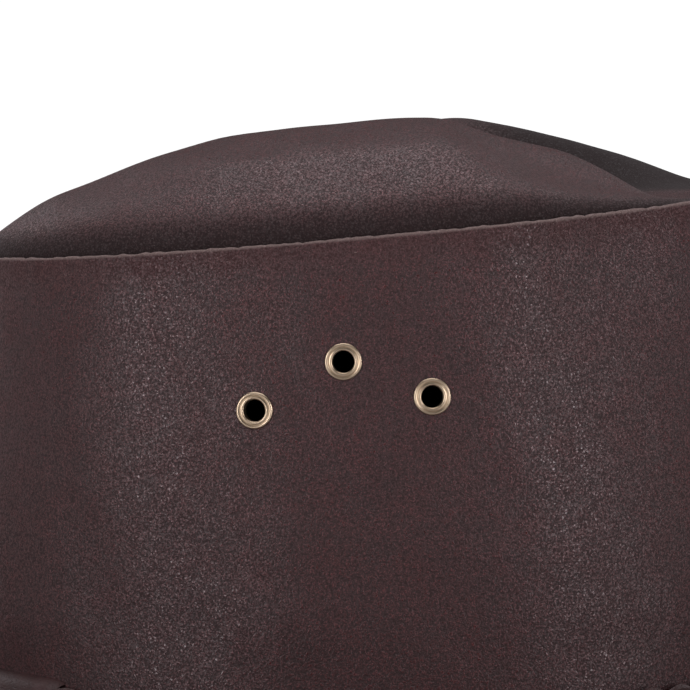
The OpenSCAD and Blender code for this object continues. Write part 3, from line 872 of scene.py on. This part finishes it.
def valley(co):
    """1 on the tip where it dips beside the seam, and over the front of the crease's left side: a
    mask of painted shade that darkens the leather's colour there."""
    t = np.degrees(np.arctan2(co[:, 1], co[:, 0]))
    inward = wall_r(t, 1) - CROWN_T - np.hypot(co[:, 0], co[:, 1])
    beside = 0.85 * (1 - smooth(inward + 0.35 * np.clip(co[:, 2] - seam_z(t), 0, 30), 0.8, 7.5))
    crease = smooth(co[:, 0], -6, 8) * (1 - smooth(co[:, 0], 38, 60)) * smooth(-co[:, 1], 6, 40)
    return np.maximum(beside, crease)


def nowhere(co):
    return np.zeros(len(co))


def crown_side_points():
    """Sections of the wall round the crown. It strays a little from its pattern away from the
    vents, the stud and its edges, and its cut top edge is ragged."""
    slack = bpy.context.scene.hat_work.slack / MM
    t = np.arange(480)[:, None] * 0.75
    top = seam_z(t) + LIP
    rise = np.concatenate([np.linspace(0, 0.93, 62), np.linspace(0.94, 0.993, 10)])[None, :]
    outer_z = UNDER_Z + (top - UNDER_Z) * rise
    outer = wall(t, outer_z)
    keep = np.ones(outer.shape[:2])
    for facing in (0, 180):
        for place in vents(facing):
            d = np.linalg.norm(outer - np.array(place.translation), axis=-1)
            keep *= smooth(d, 5, 16)
    keep *= smooth(outer_z, 14, 30) * smooth(top - outer_z, 0.5, 10)
    stud = np.linalg.norm(outer - np.array([BASE_A - 5, 0, 54]), axis=-1)
    keep *= smooth(stud, 7, 18)
    push = slack * ripples(outer, 58, 3) + 0.35 * slack * ripples(outer, 21, 4)
    outer = wall(t, outer_z, push * keep)
    ragged = 0.12 * ripples(wall(t, top), 1.9, 5) + 0.1 * ripples(wall(t, top), 6.0, 6)
    lip_r = wall_r(t, 1)
    corner = [(0.0, -0.55), (-0.08, -0.24), (-0.3, -0.06), (-0.62, 0.0), (-1.1, -0.05),
              (-1.45, -0.2), (-CROWN_T, -0.5)]
    edge = np.stack([at(t[:, 0], lip_r[:, 0] + x, top[:, 0] + z + ragged[:, 0])
                     for x, z in corner], 1)
    inner_z = UNDER_Z + (top - UNDER_Z) * np.linspace(0.985, 0, 30)[None, :]
    inner = wall(t, inner_z, -CROWN_T)
    return np.concatenate([outer, edge, inner], 1)


def punched(mesh, places, radius):
    """Cuts a clean round hole at each place."""
    rod = [(0, -6), (radius, -6), (radius, 6), (0, 6)]
    rods = together(*(turned(rod, place, 40) for place in places))
    drill = bpy.data.objects.new("punch", face_outwards(raw_mesh("punch", rods)))
    blank = bpy.data.objects.new("blank", mesh)
    for o in (drill, blank):
        bpy.context.scene.collection.objects.link(o)
    cut = blank.modifiers.new("holes", "BOOLEAN")
    cut.operation, cut.solver, cut.object = "DIFFERENCE", "EXACT", drill
    depsgraph = bpy.context.evaluated_depsgraph_get()
    result = bpy.data.meshes.new_from_object(blank.evaluated_get(depsgraph))
    bpy.data.objects.remove(blank)
    bpy.data.objects.remove(drill)
    return result


def stud_place():
    """The press stud's line: it crosses the wall where the cocked side's socket faces it."""
    c, s = math.cos(COCK), math.sin(COCK)
    socket_h = 3
    up = BRIM_Z + socket_h - FULL_Z
    mouth = Vector((FOLD_X + SNAP_REACH * c - up * s, 0, FULL_Z + SNAP_REACH * s + up * c))
    tilt = COCK - math.pi / 2
    out, rise = math.cos(tilt), math.sin(tilt)
    n = Vector((out, 0, rise))
    lean = TAPER / (BRIM_Z + RISE - UNDER_Z)
    gap = (mouth.x - BASE_A + lean * (mouth.z - UNDER_Z)) / (out + lean * rise)
    return standing(mouth - n * (gap + STUD_GAP), n), gap + STUD_GAP + socket_h - 0.6 - 0.3


class HAT_OT_crown(bpy.types.Operator):
    """Make the crown's side, its creased tip and the tape inside the seam"""

    bl_idname = "pirate_hat.crown"
    bl_label = "Crown"

    def execute(self, context):
        mats = palette()
        mesh = face_outwards(raw_mesh("crown_side_leather", skin(crown_side_points())))
        mesh = punched(mesh, vents(0) + vents(180), BORE / 2 + 0.4)
        mesh = punched(mesh, [stud_place()[0]], STUD_BORE)
        finish_piece(mesh, "crown_side_leather", mats["crown"], HAT, "crown_leather",
                     ["crown_side"],
                     {"seam_mm": seam_distance, "raw_edge": raw_edge, "valley": nowhere})

        t = np.arange(480)[:, None] * 0.75
        shares = 1 - np.linspace(0, 1, 84)[None, :] ** 1.7 * 0.998

        def tip(depth):
            """Sections of the tip, depth below its face, with its allowance turned down. By
            hand it leans to the right, slumps at the front and swells along the ridges."""
            r = wall_r(t, 1) - CROWN_T - SEAT - depth
            z = tip_z(t, shares, r) - depth * np.minimum(1, (1 - shares) * 12)
            p = at(t, r * shares, z)
            soft = smooth(1 - shares, 0.02, 0.2)
            x, y = p[..., 0], p[..., 1]
            lift = 0.4 * ripples(p, 44, 11) + 0.14 * ripples(p, 15, 12)
            lean = 2.1 * np.clip(-x / 36, -1, 1) * smooth(y, -42, -8)
            slump = 4.0 * np.clip(-x / 24, 0, 1) * smooth(-y, 44, 76)
            swell = 0.7 * np.clip(x / 24, 0, 1) * bump(y + 64, 26)
            swell = swell + 1.1 * bump(y + 16, 26) - 2.2 * bump(y - 56, 27)
            p[..., 2] += (lift + lean - slump + swell) * soft
            down = seam_z(t) - ALLOWANCE * np.linspace(1, 0.1, 6)[None, :]
            allowance = wall(t, down, -CROWN_T - SEAT - depth)
            return np.concatenate([allowance, p], 1)

        grid = np.concatenate([tip(0.0)[:, ::-1], tip(TIP_T)], 1)
        # The tip carries the mask of painted shade for its dip beside the seam and the crease's
        # left side.
        piece("crown_tip_leather", skin(grid, loop=False, first_pole=True, last_pole=True),
              mats["crown"], HAT, "crown_leather", ["crown_tip"],
              {"seam_mm": lambda co: nowhere(co) + 40, "raw_edge": nowhere, "valley": valley})

        section = strip(-ALLOWANCE - 3, -4, 0, 0.55, 5, 0.15)
        t = np.arange(360)
        z = seam_z(t)[:, None] + section[None, :, 0]
        off = -(CROWN_T + 2 * SEAT + TIP_T) - section[None, :, 1]
        piece("seam_tape", skin(wall(t[:, None], z, off)), mats["tape"], HAT, "cotton_tape",
              ["tip_seam_tape"])
        return {"FINISHED"}


def eyelet_profile():
    """A flange with two rolled lips outside, a barrel through the leather and a curled end
    inside."""
    inner = BORE / 2
    mid, half = inner + ROLL / 2, ROLL / 2
    flange = []
    for a in np.linspace(0, 180, 41):
        across = float(cos(a))
        lips = 0.62 * half * float(sin(a)) ** 0.7 - 0.2 * float(np.exp(-(across / 0.36) ** 2))
        flange.append((mid + half * across, lips + 0.02))
    curl = [(0.0, -0.3), (0.12, -0.55), (0.5, -0.72), (0.95, -0.5), (1.1, -0.1), (0.35, 0.0)]
    barrel = [(inner, -0.2), *((inner + out, WASHER_Z + up) for out, up in curl)]
    return [*flange, *barrel, (inner + 0.35, 0.0)]


def washer_profile():
    a, b, z = BORE / 2 + 0.42, BORE / 2 + ROLL - 0.2, WASHER_Z
    return [(a, z), (b - 0.1, z), (b, z + 0.1), (b, z + 0.4), (b - 0.12, z + 0.5), (a, z + 0.5)]


class HAT_OT_vents(bpy.types.Operator):
    """Set the vent eyelets and the washers behind them"""

    bl_idname = "pirate_hat.vents"
    bl_label = "Vent Eyelets"

    def execute(self, context):
        mats = palette()
        tree = fitting_tree(mats["brass"])
        for profile, label in ((eyelet_profile(), "eyelets"), (washer_profile(), "washers")):
            mesh = raw_mesh(label + "_model", turned(profile, Matrix.Identity(4), 64))
            model = bpy.data.objects.new(label + "_model", face_outwards(mesh))
            context.scene.collection.objects.link(model)
            for side, facing in (("right", 180), ("left", 0)):
                places = vents(facing)
                mesh = grown(
                    label, [p.translation for p in places], False, tree, {"Fitting": model},
                    {"outward": [p.to_3x3() @ Vector((0, 0, 1)) for p in places]})
                finish_piece(mesh, f"vent_{label}_{side}_brass", mats["brass"], HAT,
                             "antique_brass", [f"vent_{label}_{side}"])
            bpy.data.objects.remove(model)
        return {"FINISHED"}


# ---------------------------------------------------------------- the brim


def brim_columns(t, a, b):
    """Distances out from a to b along each direction, with some gathered at the fold."""
    counts = (9, 12, 22)
    t = t[:, None]
    c = np.maximum(cos(t), 0.05)
    span = b - a
    n = sum(counts)
    even_1, even_2 = a + span * counts[0] / n, a + span * (counts[0] + counts[1]) / n
    low_1, high_1 = (FOLD_X - FOLD_REACH) / c, (FOLD_X + FOLD_REACH) / c
    fade = smooth(np.abs((t + 180) % 360 - 180), 62, 96)
    low_1 = np.clip(low_1, a + 0.04 * span, b - 0.10 * span)
    high_1 = np.clip(high_1, a + 0.10 * span, b - 0.05 * span)
    first = low_1 * (1 - fade) + even_1 * fade
    second = high_1 * (1 - fade) + even_2 * fade
    parts = []
    for lo, hi, k in ((a, first, counts[0]), (first, second, counts[1]), (second, b, counts[2])):
        parts.append(lo + (hi - lo) * np.arange(k)[None, :] / k)
    return np.concatenate([*parts, b * np.ones_like(t)], 1)


def brim_ply(low_w, high_w, turns):
    """One layer of the brim from the crown to its edge: its points on the hat, and where
    they lie on the flat pattern."""
    a = (wall_r(turns, 0) + SEAT)[:, None]
    b = brim_r(turns, INSET)[:, None]
    r = brim_columns(turns, a, b)
    c, s = cos(turns)[:, None], sin(turns)[:, None]
    flat = np.stack(np.broadcast_arrays(r * c, r * s, high_w), -1)
    flat = np.concatenate([flat, flat[:, ::-1] - (0, 0, high_w - low_w)], 1)
    return on_brim(*np.moveaxis(flat, -1, 0)), flat


def round_brim(section, turns):
    """A section of (inset from the brim's edge, height) pairs carried round the brim."""
    r = brim_r(turns)[:, None] - section[None, :, 0]
    flat = np.stack(np.broadcast_arrays(
        r * cos(turns)[:, None], r * sin(turns)[:, None], section[None, :, 1]), -1)
    return on_brim(*np.moveaxis(flat, -1, 0)), flat


def binding_section():
    """The folded binding, from its upper edge round the brim's edge and back inside."""
    inner = INSET + BINDING_W
    mid, half = FULL_Z / 2, FULL_Z / 2
    outside = [(inner, FULL_Z - 0.25), (inner - 0.3, FULL_Z)]
    outside += [(x, FULL_Z) for x in np.linspace(inner - 2, 3.2, 5)]
    outside += [(2.6 - 2.6 * float(sin(a)), mid + half * float(cos(a))) for a in range(0, 181, 15)]
    outside += [(x, 0.0) for x in np.linspace(3.2, inner - 2, 5)]
    outside += [(inner - 0.3, 0.0), (inner, 0.25), (inner, UNDER_Z)]
    inside = [(x, UNDER_Z) for x in np.linspace(inner - 1, 2.5, 5)] + [(1.2, 1.6), (1.2, 3.6)]
    inside += [(x, BRIM_Z) for x in np.linspace(2.5, inner - 1, 5)] + [(inner, BRIM_Z)]
    return np.array(outside + inside)


class HAT_OT_brim(bpy.types.Operator):
    """Make the brim's leathers, stiffener, wire and edge binding in one with the cocked side"""

    bl_idname = "pirate_hat.brim"
    bl_label = "Brim"

    def execute(self, context):
        mats = palette()
        turns = brim_turns(640)
        a = np.arange(12) * 30
        wire = np.stack([BINDING + WIRE_D / 2 + 0.45 + 0.7 * cos(a), 2.6 + 0.7 * sin(a)], 1)
        for name, made, mat, slot, node in (
            ("brim_upper_leather", brim_ply(TOP_Z, BRIM_Z, turns), "brim", "crown_leather", "top"),
            ("brim_stiffener", brim_ply(CORE_Z, TOP_Z, turns), "fibre", "stiffener", "core"),
            ("brim_lower_leather", brim_ply(UNDER_Z, CORE_Z, turns), "under", "under_leather",
             "under"),
            ("brim_edge_binding", round_brim(binding_section(), brim_turns(820)), "strap",
             "dark_leather", "binding"),
            ("brim_edge_wire", round_brim(wire, turns), "wire", "wire", "wire"),
        ):
            grid, flat = made
            piece(name, skin(grid), mats[mat], "both", slot, ["brim_" + node, "flap_" + node],
                  pattern=flat.reshape(-1, 3))
        return {"FINISHED"}


# ---------------------------------------------------------------- band and sweatband


class HAT_OT_band(bpy.types.Operator):
    """Plait the band round the crown and wrap the keeper over its join"""

    bl_idname = "pirate_hat.band"
    bl_label = "Plaited Band"

    def execute(self, context):
        mats = palette()
        mid = (BAND_LOW + BAND_HIGH) / 2 - 0.6
        t = np.arange(720) / 2
        path = wall(t, mid, 2.15)
        out = at(t, 1.0, 0.0)
        mesh = grown("plait", path, True, plait_tree(mats["strap"]), {
            "Turns": float(context.scene.hat_work.plait_turns), "Half Height": 0.0026,
            "Half Depth": 0.00078, "Strand Width": 0.0038, "Strand Thickness": 0.0019,
        }, {"outward": out})
        finish_piece(mesh, "hatband_three_strand", mats["strap"], HAT, "dark_leather",
                     ["hatband_plait"])

        # The keeper is a strap bent over the plait, centred on this direction
        centre, half = 128.0, 8.9
        t = np.linspace(centre - half, centre + half, 40)
        swell = np.sqrt(np.clip(1 - np.abs(t - centre) / half, 0, 1) * 6).clip(0, 1)
        a = np.linspace(-44, 90, 22)
        ridge = 0.12 * np.sin(np.radians(a * 8))
        rows = []
        for turn, grow in zip(t, 0.82 + 0.18 * swell):
            outside = wall(np.full_like(a, turn), mid + ((4.6 + 1.1) * grow) * sin(a),
                           SEAT + ((4.3 + 1.4) * grow + ridge) * cos(a))
            inside = wall(np.full_like(a, turn), mid + (4.6 + 0.1) * sin(a),
                          SEAT + (4.3 + 0.15) * cos(a))
            rows.append(np.concatenate([outside, inside[::-1]]))
        piece("hatband_join_keeper", skin(np.array(rows), ring=False), mats["strap"], HAT,
              "dark_leather", ["hatband_keeper"])
        return {"FINISHED"}


class HAT_OT_sweatband(bpy.types.Operator):
    """Make the sweatband, the reed along its edge and the small bow at the back"""

    bl_idname = "pirate_hat.sweatband"
    bl_label = "Sweatband"

    def execute(self, context):
        mats = palette()
        section = strip(SWEAT_LOW, SWEAT_HIGH, 0, SWEAT_T, 16, 0.4)
        t = np.arange(360)[:, None]
        z = np.broadcast_to(section[None, :, 0], (360, len(section)))
        base = wall(t, z, -(CROWN_T + SEAT) - section[None, :, 1])
        loose = smooth(z, 26, SWEAT_HIGH) * (0.5 + 0.5 * ripples(base, 60, 21))
        swell = 0.5 * bump(z - (SWEAT_LOW + 3), 4)
        r = -(CROWN_T + SEAT) - section[None, :, 1] - 0.5 * np.clip(loose, 0, 1) - swell * 0.3
        piece("sweatband_leather_band", skin(wall(t, z, r)), mats["lining"], HAT,
              "sweat_leather", ["sweatband"])

        a = np.arange(12) * 30
        t = np.arange(480)[:, None] * 0.75
        rope = REED_R + 0.05 * np.sin(np.radians(a[None, :] * 2 + t * 60))
        r = -(CROWN_T + SEAT + REED_R) + rope * cos(a)[None, :]
        piece("sweatband_edge_reed", skin(wall(t, UNDER_Z + REED_R + rope * sin(a)[None, :], r)),
              mats["reed"], HAT, "reed", ["sweatband_reed"])

        bow_z = SWEAT_LOW + 9
        off = -(CROWN_T + SEAT + SWEAT_T)

        def lay(x, z, rise):
            """Points x round from the back, at height z, and rise proud of the band."""
            turn = 90 - np.degrees(np.asarray(x) / float(wall_r(90, 0.1)))
            return wall(turn, np.asarray(z, float), off - np.asarray(rise))

        ribbon = ((1, 0.09), (0.4, 0.14), (-0.4, 0.14), (-1, 0.09),
                  (-1, -0.09), (-0.4, -0.05), (0.4, -0.05), (1, -0.09))
        s = np.linspace(0, 1, 29)
        reach = np.sin(np.pi * s)
        parts = []
        for side in (-1, 1):
            x = side * (0.9 + 8.2 * reach**0.8)
            rise = 0.75 + 0.5 * np.sin(2 * np.pi * s) * reach**0.4
            loop_z = bow_z + 0.5 * side * reach
            wide = 1.1 + 1.9 * reach
            rows = [[lay(x[k], loop_z[k] + w * wide[k], rise[k] + d) for w, d in ribbon]
                    for k in range(len(s))]
            parts.append(skin(np.array(rows), ring=False))
        rows = []
        for k in range(9):
            grow = 0.8 + 0.3 * math.sin(math.pi * k / 8)
            rows.append([lay(-1.6 + 0.4 * k, bow_z + 1.9 * grow * float(sin(b)),
                             0.95 + 0.72 * grow * float(cos(b))) for b in range(0, 360, 24)])
        parts.append(skin(np.array(rows), ring=False))
        piece("sweatband_ribbon_bow", together(*parts), mats["tape"], HAT, "cotton_tape",
              ["sweatband_bow"])
        return {"FINISHED"}


class HAT_OT_stay(bpy.types.Operator):
    """Sew the stay over the seam at the back of the crown"""

    bl_idname = "pirate_hat.stay"
    bl_label = "Back Stay"

    def execute(self, context):
        mats = palette()
        section = strip(-STAY_HALF, STAY_HALF, SEAT, SEAT + STAY_T, 10, 0.35)
        across, up = section.T
        z = np.concatenate([[STAY_LOW, STAY_LOW + 0.15, STAY_LOW + 0.4],
                            np.linspace(STAY_LOW + 1, STAY_HIGH - 1, 60),
                            [STAY_HIGH - 0.4, STAY_HIGH - 0.15, STAY_HIGH]])
        thin = np.ones(len(z))
        thin[[0, -1]], thin[[1, -2]], thin[[2, -3]] = 0.55, 0.8, 0.95
        turn = 90 + np.degrees(across / float(wall_r(90, 0.5)))
        groove = 0.3 * bump(np.abs(across) - STAY_STITCH, 0.9) * (up > 1)
        rows = [wall(turn, np.full_like(turn, height), SEAT + (up - SEAT - groove) * k)
                for height, k in zip(z, thin)]
        piece("crown_stay_strip", skin(np.array(rows), ring=False), mats["strap"], HAT,
              "dark_leather", ["crown_back_stay"])
        return {"FINISHED"}


# ---------------------------------------------------------------- press stud and thread


class HAT_OT_press_stud(bpy.types.Operator):
    """Set the press stud: its cap and socket on the cocked side, its stud and post on the crown"""

    bl_idname = "pirate_hat.press_stud"
    bl_label = "Press Stud"

    def execute(self, context):
        mats = palette()
        c, s = math.cos(COCK), math.sin(COCK)
        flap = Matrix(((c, 0, -s, 0), (0, 1, 0, 0), (s, 0, c, 0), (0, 0, 0, 1)))
        foot = Matrix.Translation(Vector((FOLD_X, 0, FULL_Z)))
        lay = foot @ flap @ Matrix.Translation(Vector((SNAP_REACH, 0, UNDER_Z - FULL_Z)))
        lift = BRIM_Z - UNDER_Z
        cap = [(0, 0.2), (1.7, 0.2), (1.7, -0.1), (7.0, -0.1), (7.4, -0.3), (7.5, -0.62),
               (7.38, -0.9), (6.9, -1.12), (6.4, -1.05), (6.05, -1.2), (5.2, -1.72),
               (4.0, -2.2), (2.6, -2.5), (1.2, -2.6), (0, -2.62)]
        rivet = [(0, -0.2), (1.7, -0.2), (1.7, lift + 0.55), (0, lift + 0.55)]
        base = lay @ Matrix.Translation(Vector((0, 0, lift)))
        socket = [(1.75, 0), (6.0, 0), (6.1, 0.3), (6.1, 0.7), (5.4, 1.0), (5.2, 1.3), (5.2, 2.3),
                  (5.0, 2.75), (4.5, 3.0), (4.1, 2.9), (3.85, 2.6), (3.85, 0.6), (1.75, 0.6)]
        place, length = stud_place()
        stud = [(1.75, 0), (5.0, 0), (5.2, 0.2), (5.2, 0.6), (4.9, 0.8), (3.4, 1.0), (2.9, 1.3),
                (2.9, length - 1.9), (3.2, length - 1.5), (3.4, length - 1.1),
                (3.4, length - 0.7), (3.1, length - 0.25), (2.6, length), (1.75, length)]
        seat = CROWN_T - 0.85
        post = [(0, -seat - 0.6), (4.7, -seat - 0.6), (5.15, -seat - 0.45), (5.2, -seat - 0.15),
                (5.0, -seat), (1.7, -seat), (1.7, length - 1.2), (0, length - 1.2)]
        for part, shape, body in (
            ("cap", together(turned(cap, lay, 96), turned(rivet, lay, 72)), FLAP),
            ("socket", turned(socket, base, 96), FLAP),
            ("stud", turned(stud, place, 96), HAT),
            ("post", turned(post, place, 96), HAT),
        ):
            piece("press_stud_" + part, shape, mats["brass"], body, "antique_brass",
                  ["snap_" + part])
        return {"FINISHED"}


class HAT_OT_stitching(bpy.types.Operator):
    """Sew the binding, the stay and the sweatband"""

    bl_idname = "pirate_hat.stitching"
    bl_label = "Stitching"

    def execute(self, context):
        mats = palette()
        work = context.scene.hat_work
        tree = stitch_tree(mats["thread"])
        values = {"Pitch": work.stitch_pitch, "Length": work.stitch_length,
                  "Thickness": work.thread_width, "Lean": 0.05}
        turns = brim_turns(2400)
        inset = INSET + BINDING_W - STITCH_INSET
        for label, w in (("upper", FULL_Z + 0.08), ("lower", 0.2)):
            path = round_brim(np.array([[inset, w]]), turns)[0][:, 0]
            mesh = grown("binding_" + label, path, True, tree, values)
            finish_piece(mesh, f"binding_stitches_{label}", mats["thread"], "both", "cotton_tape")
        meshes = []
        z = np.linspace(STAY_LOW + 2, STAY_HIGH - 2, 200)
        for side in (-1, 1):
            turn = np.full_like(z, 90 + side * math.degrees(STAY_STITCH / float(wall_r(90, 0.5))))
            meshes.append(grown("stay", wall(turn, z, SEAT + 1.15), False, tree, values))
        t = np.arange(1440) / 4
        row = wall(t, np.full_like(t, SWEAT_LOW + 5.5), -(CROWN_T + SEAT + 1.33))
        meshes.append(grown("sweat", row, True, tree, values))
        bm = bmesh.new()
        for mesh in meshes:
            bm.from_mesh(mesh)
        sewn = bpy.data.meshes.new("crown_stitches")
        bm.to_mesh(sewn)
        bm.free()
        finish_piece(sewn, "crown_stitches", mats["thread"], HAT, "cotton_tape")
        return {"FINISHED"}


# ---------------------------------------------------------------- stage


class HAT_OT_stage(bpy.types.Operator):
    """Lay the pale floor, set the soft lights and the camera"""

    bl_idname = "pirate_hat.stage"
    bl_label = "Stage"

    def execute(self, context):
        scene = context.scene
        t = np.arange(96)[:, None] * 3.75
        radius, drop = 1.4, 0.0004
        grid = at(t, np.linspace(0.01, radius, 12)[None, :], -drop)
        points, faces = skin(grid, loop=False, first_pole=True)
        mesh = bpy.data.meshes.new("floor")
        mesh.from_pydata(points.tolist(), [], faces)
        layer = mesh.attributes.new("pattern", "FLOAT_VECTOR", "POINT")
        layer.data.foreach_set("vector", np.ascontiguousarray(points / MM, np.float32).ravel())
        floor = bpy.data.objects.new("floor", mesh)
        mesh.materials.append(pale_floor("pale_floor", (0.86, 0.86, 0.86)))
        scene.collection.objects.link(floor)

        world = bpy.data.worlds.new("studio")
        scene.world = world
        world.use_nodes = True
        world.node_tree.nodes.clear()
        g = Graph(world.node_tree)
        seen = g.add("ShaderNodeLightPath", out="Is Camera Ray")
        glow = g.add("ShaderNodeBackground", sockets={
            "Color": (1, 1, 1, 1), "Strength": 0.06 + seen * 1.0})
        g.add("ShaderNodeOutputWorld", sockets={"Surface": glow})

        # Name, place and size in metres, and power in watts
        for name, place, size, power in (
            ("light_back_right", (-1.12, 0.88, 0.3), (0.28, 0.9), 10),
            ("light_front_right", (-0.95, -1.12, 0.3), (0.3, 0.9), 10),
            ("light_above", (0.0, 0, 1.3), (1.3, 1.2), 16),
            ("light_front_left", (1.0, -1.0, 0.75), (0.8, 0.8), 5),
            ("light_back_left", (0.9, 1.1, 0.75), (0.8, 0.8), 4),
        ):
            light = bpy.data.lights.new(name, "AREA")
            light.shape, light.size, light.size_y = "RECTANGLE", *size
            light.energy, light.color = power, (1.0, 0.965, 1.0)
            obj = bpy.data.objects.new(name, light)
            obj.location = place
            turn = (Vector((0, 0, 0.08)) - Vector(place)).to_track_quat("-Z", "Y")
            obj.rotation_euler = turn.to_euler()
            scene.collection.objects.link(obj)

        # The camera looks at the crown's right wall, turned a little towards the front
        aim = Vector((low("crown_side")[0] + 4, -0.75, 91.1)) * MM
        azimuth, height, lean = (math.radians(v) for v in (274.75, 5.7, -0.77))
        distance = 0.83
        back = Vector((math.sin(azimuth) * math.cos(height),
                       -math.cos(azimuth) * math.cos(height), math.sin(height)))
        side = Vector((0, 0, 1)).cross(back).normalized()
        up = back.cross(side)
        side, up = side * math.cos(lean) + up * math.sin(lean), (
            up * math.cos(lean) - side * math.sin(lean))
        camera = bpy.data.objects.new("camera", bpy.data.cameras.new("camera"))
        camera.matrix_world = Matrix.Translation(aim + distance * back) @ Matrix(
            (side, up, back)).transposed().to_4x4()
        camera.data.lens, camera.data.sensor_width = 199.3, 36
        camera.data.clip_start = 0.01
        scene.collection.objects.link(camera)
        scene.camera = camera
        scene.view_settings.view_transform = "Standard"
        return {"FINISHED"}


class HAT_PT_panel(bpy.types.Panel):
    """Lists the hat's pieces and what can be changed"""

    bl_idname = "HAT_PT_panel"
    bl_label = "Pirate Hat"
    bl_space_type = "VIEW_3D"
    bl_region_type = "UI"
    bl_category = "Pirate Hat"

    def draw(self, context):
        for group in (context.scene.hat_look, context.scene.hat_work):
            box = self.layout.box()
            for key in group.bl_rna.properties.keys():
                if key not in ("rna_type", "name"):
                    box.prop(group, key)
        for operator in OPERATORS:
            self.layout.operator(operator.bl_idname)


OPERATORS = (
    HAT_OT_stage, HAT_OT_crown, HAT_OT_vents, HAT_OT_brim, HAT_OT_band,
    HAT_OT_sweatband, HAT_OT_stay, HAT_OT_press_stud, HAT_OT_stitching,
)
CLASSES = (HatLook, HatWork, *OPERATORS, HAT_PT_panel)


def register():
    for cls in CLASSES:
        bpy.utils.register_class(cls)
    bpy.types.Scene.hat_look = PointerProperty(type=HatLook)
    bpy.types.Scene.hat_work = PointerProperty(type=HatWork)


def unregister():
    del bpy.types.Scene.hat_look, bpy.types.Scene.hat_work
    for cls in reversed(CLASSES):
        bpy.utils.unregister_class(cls)


def main():
    register()
    for operator in OPERATORS:
        group, name = operator.bl_idname.split(".")
        getattr(getattr(bpy.ops, group), name)()


if __name__ == "__main__":
    main()
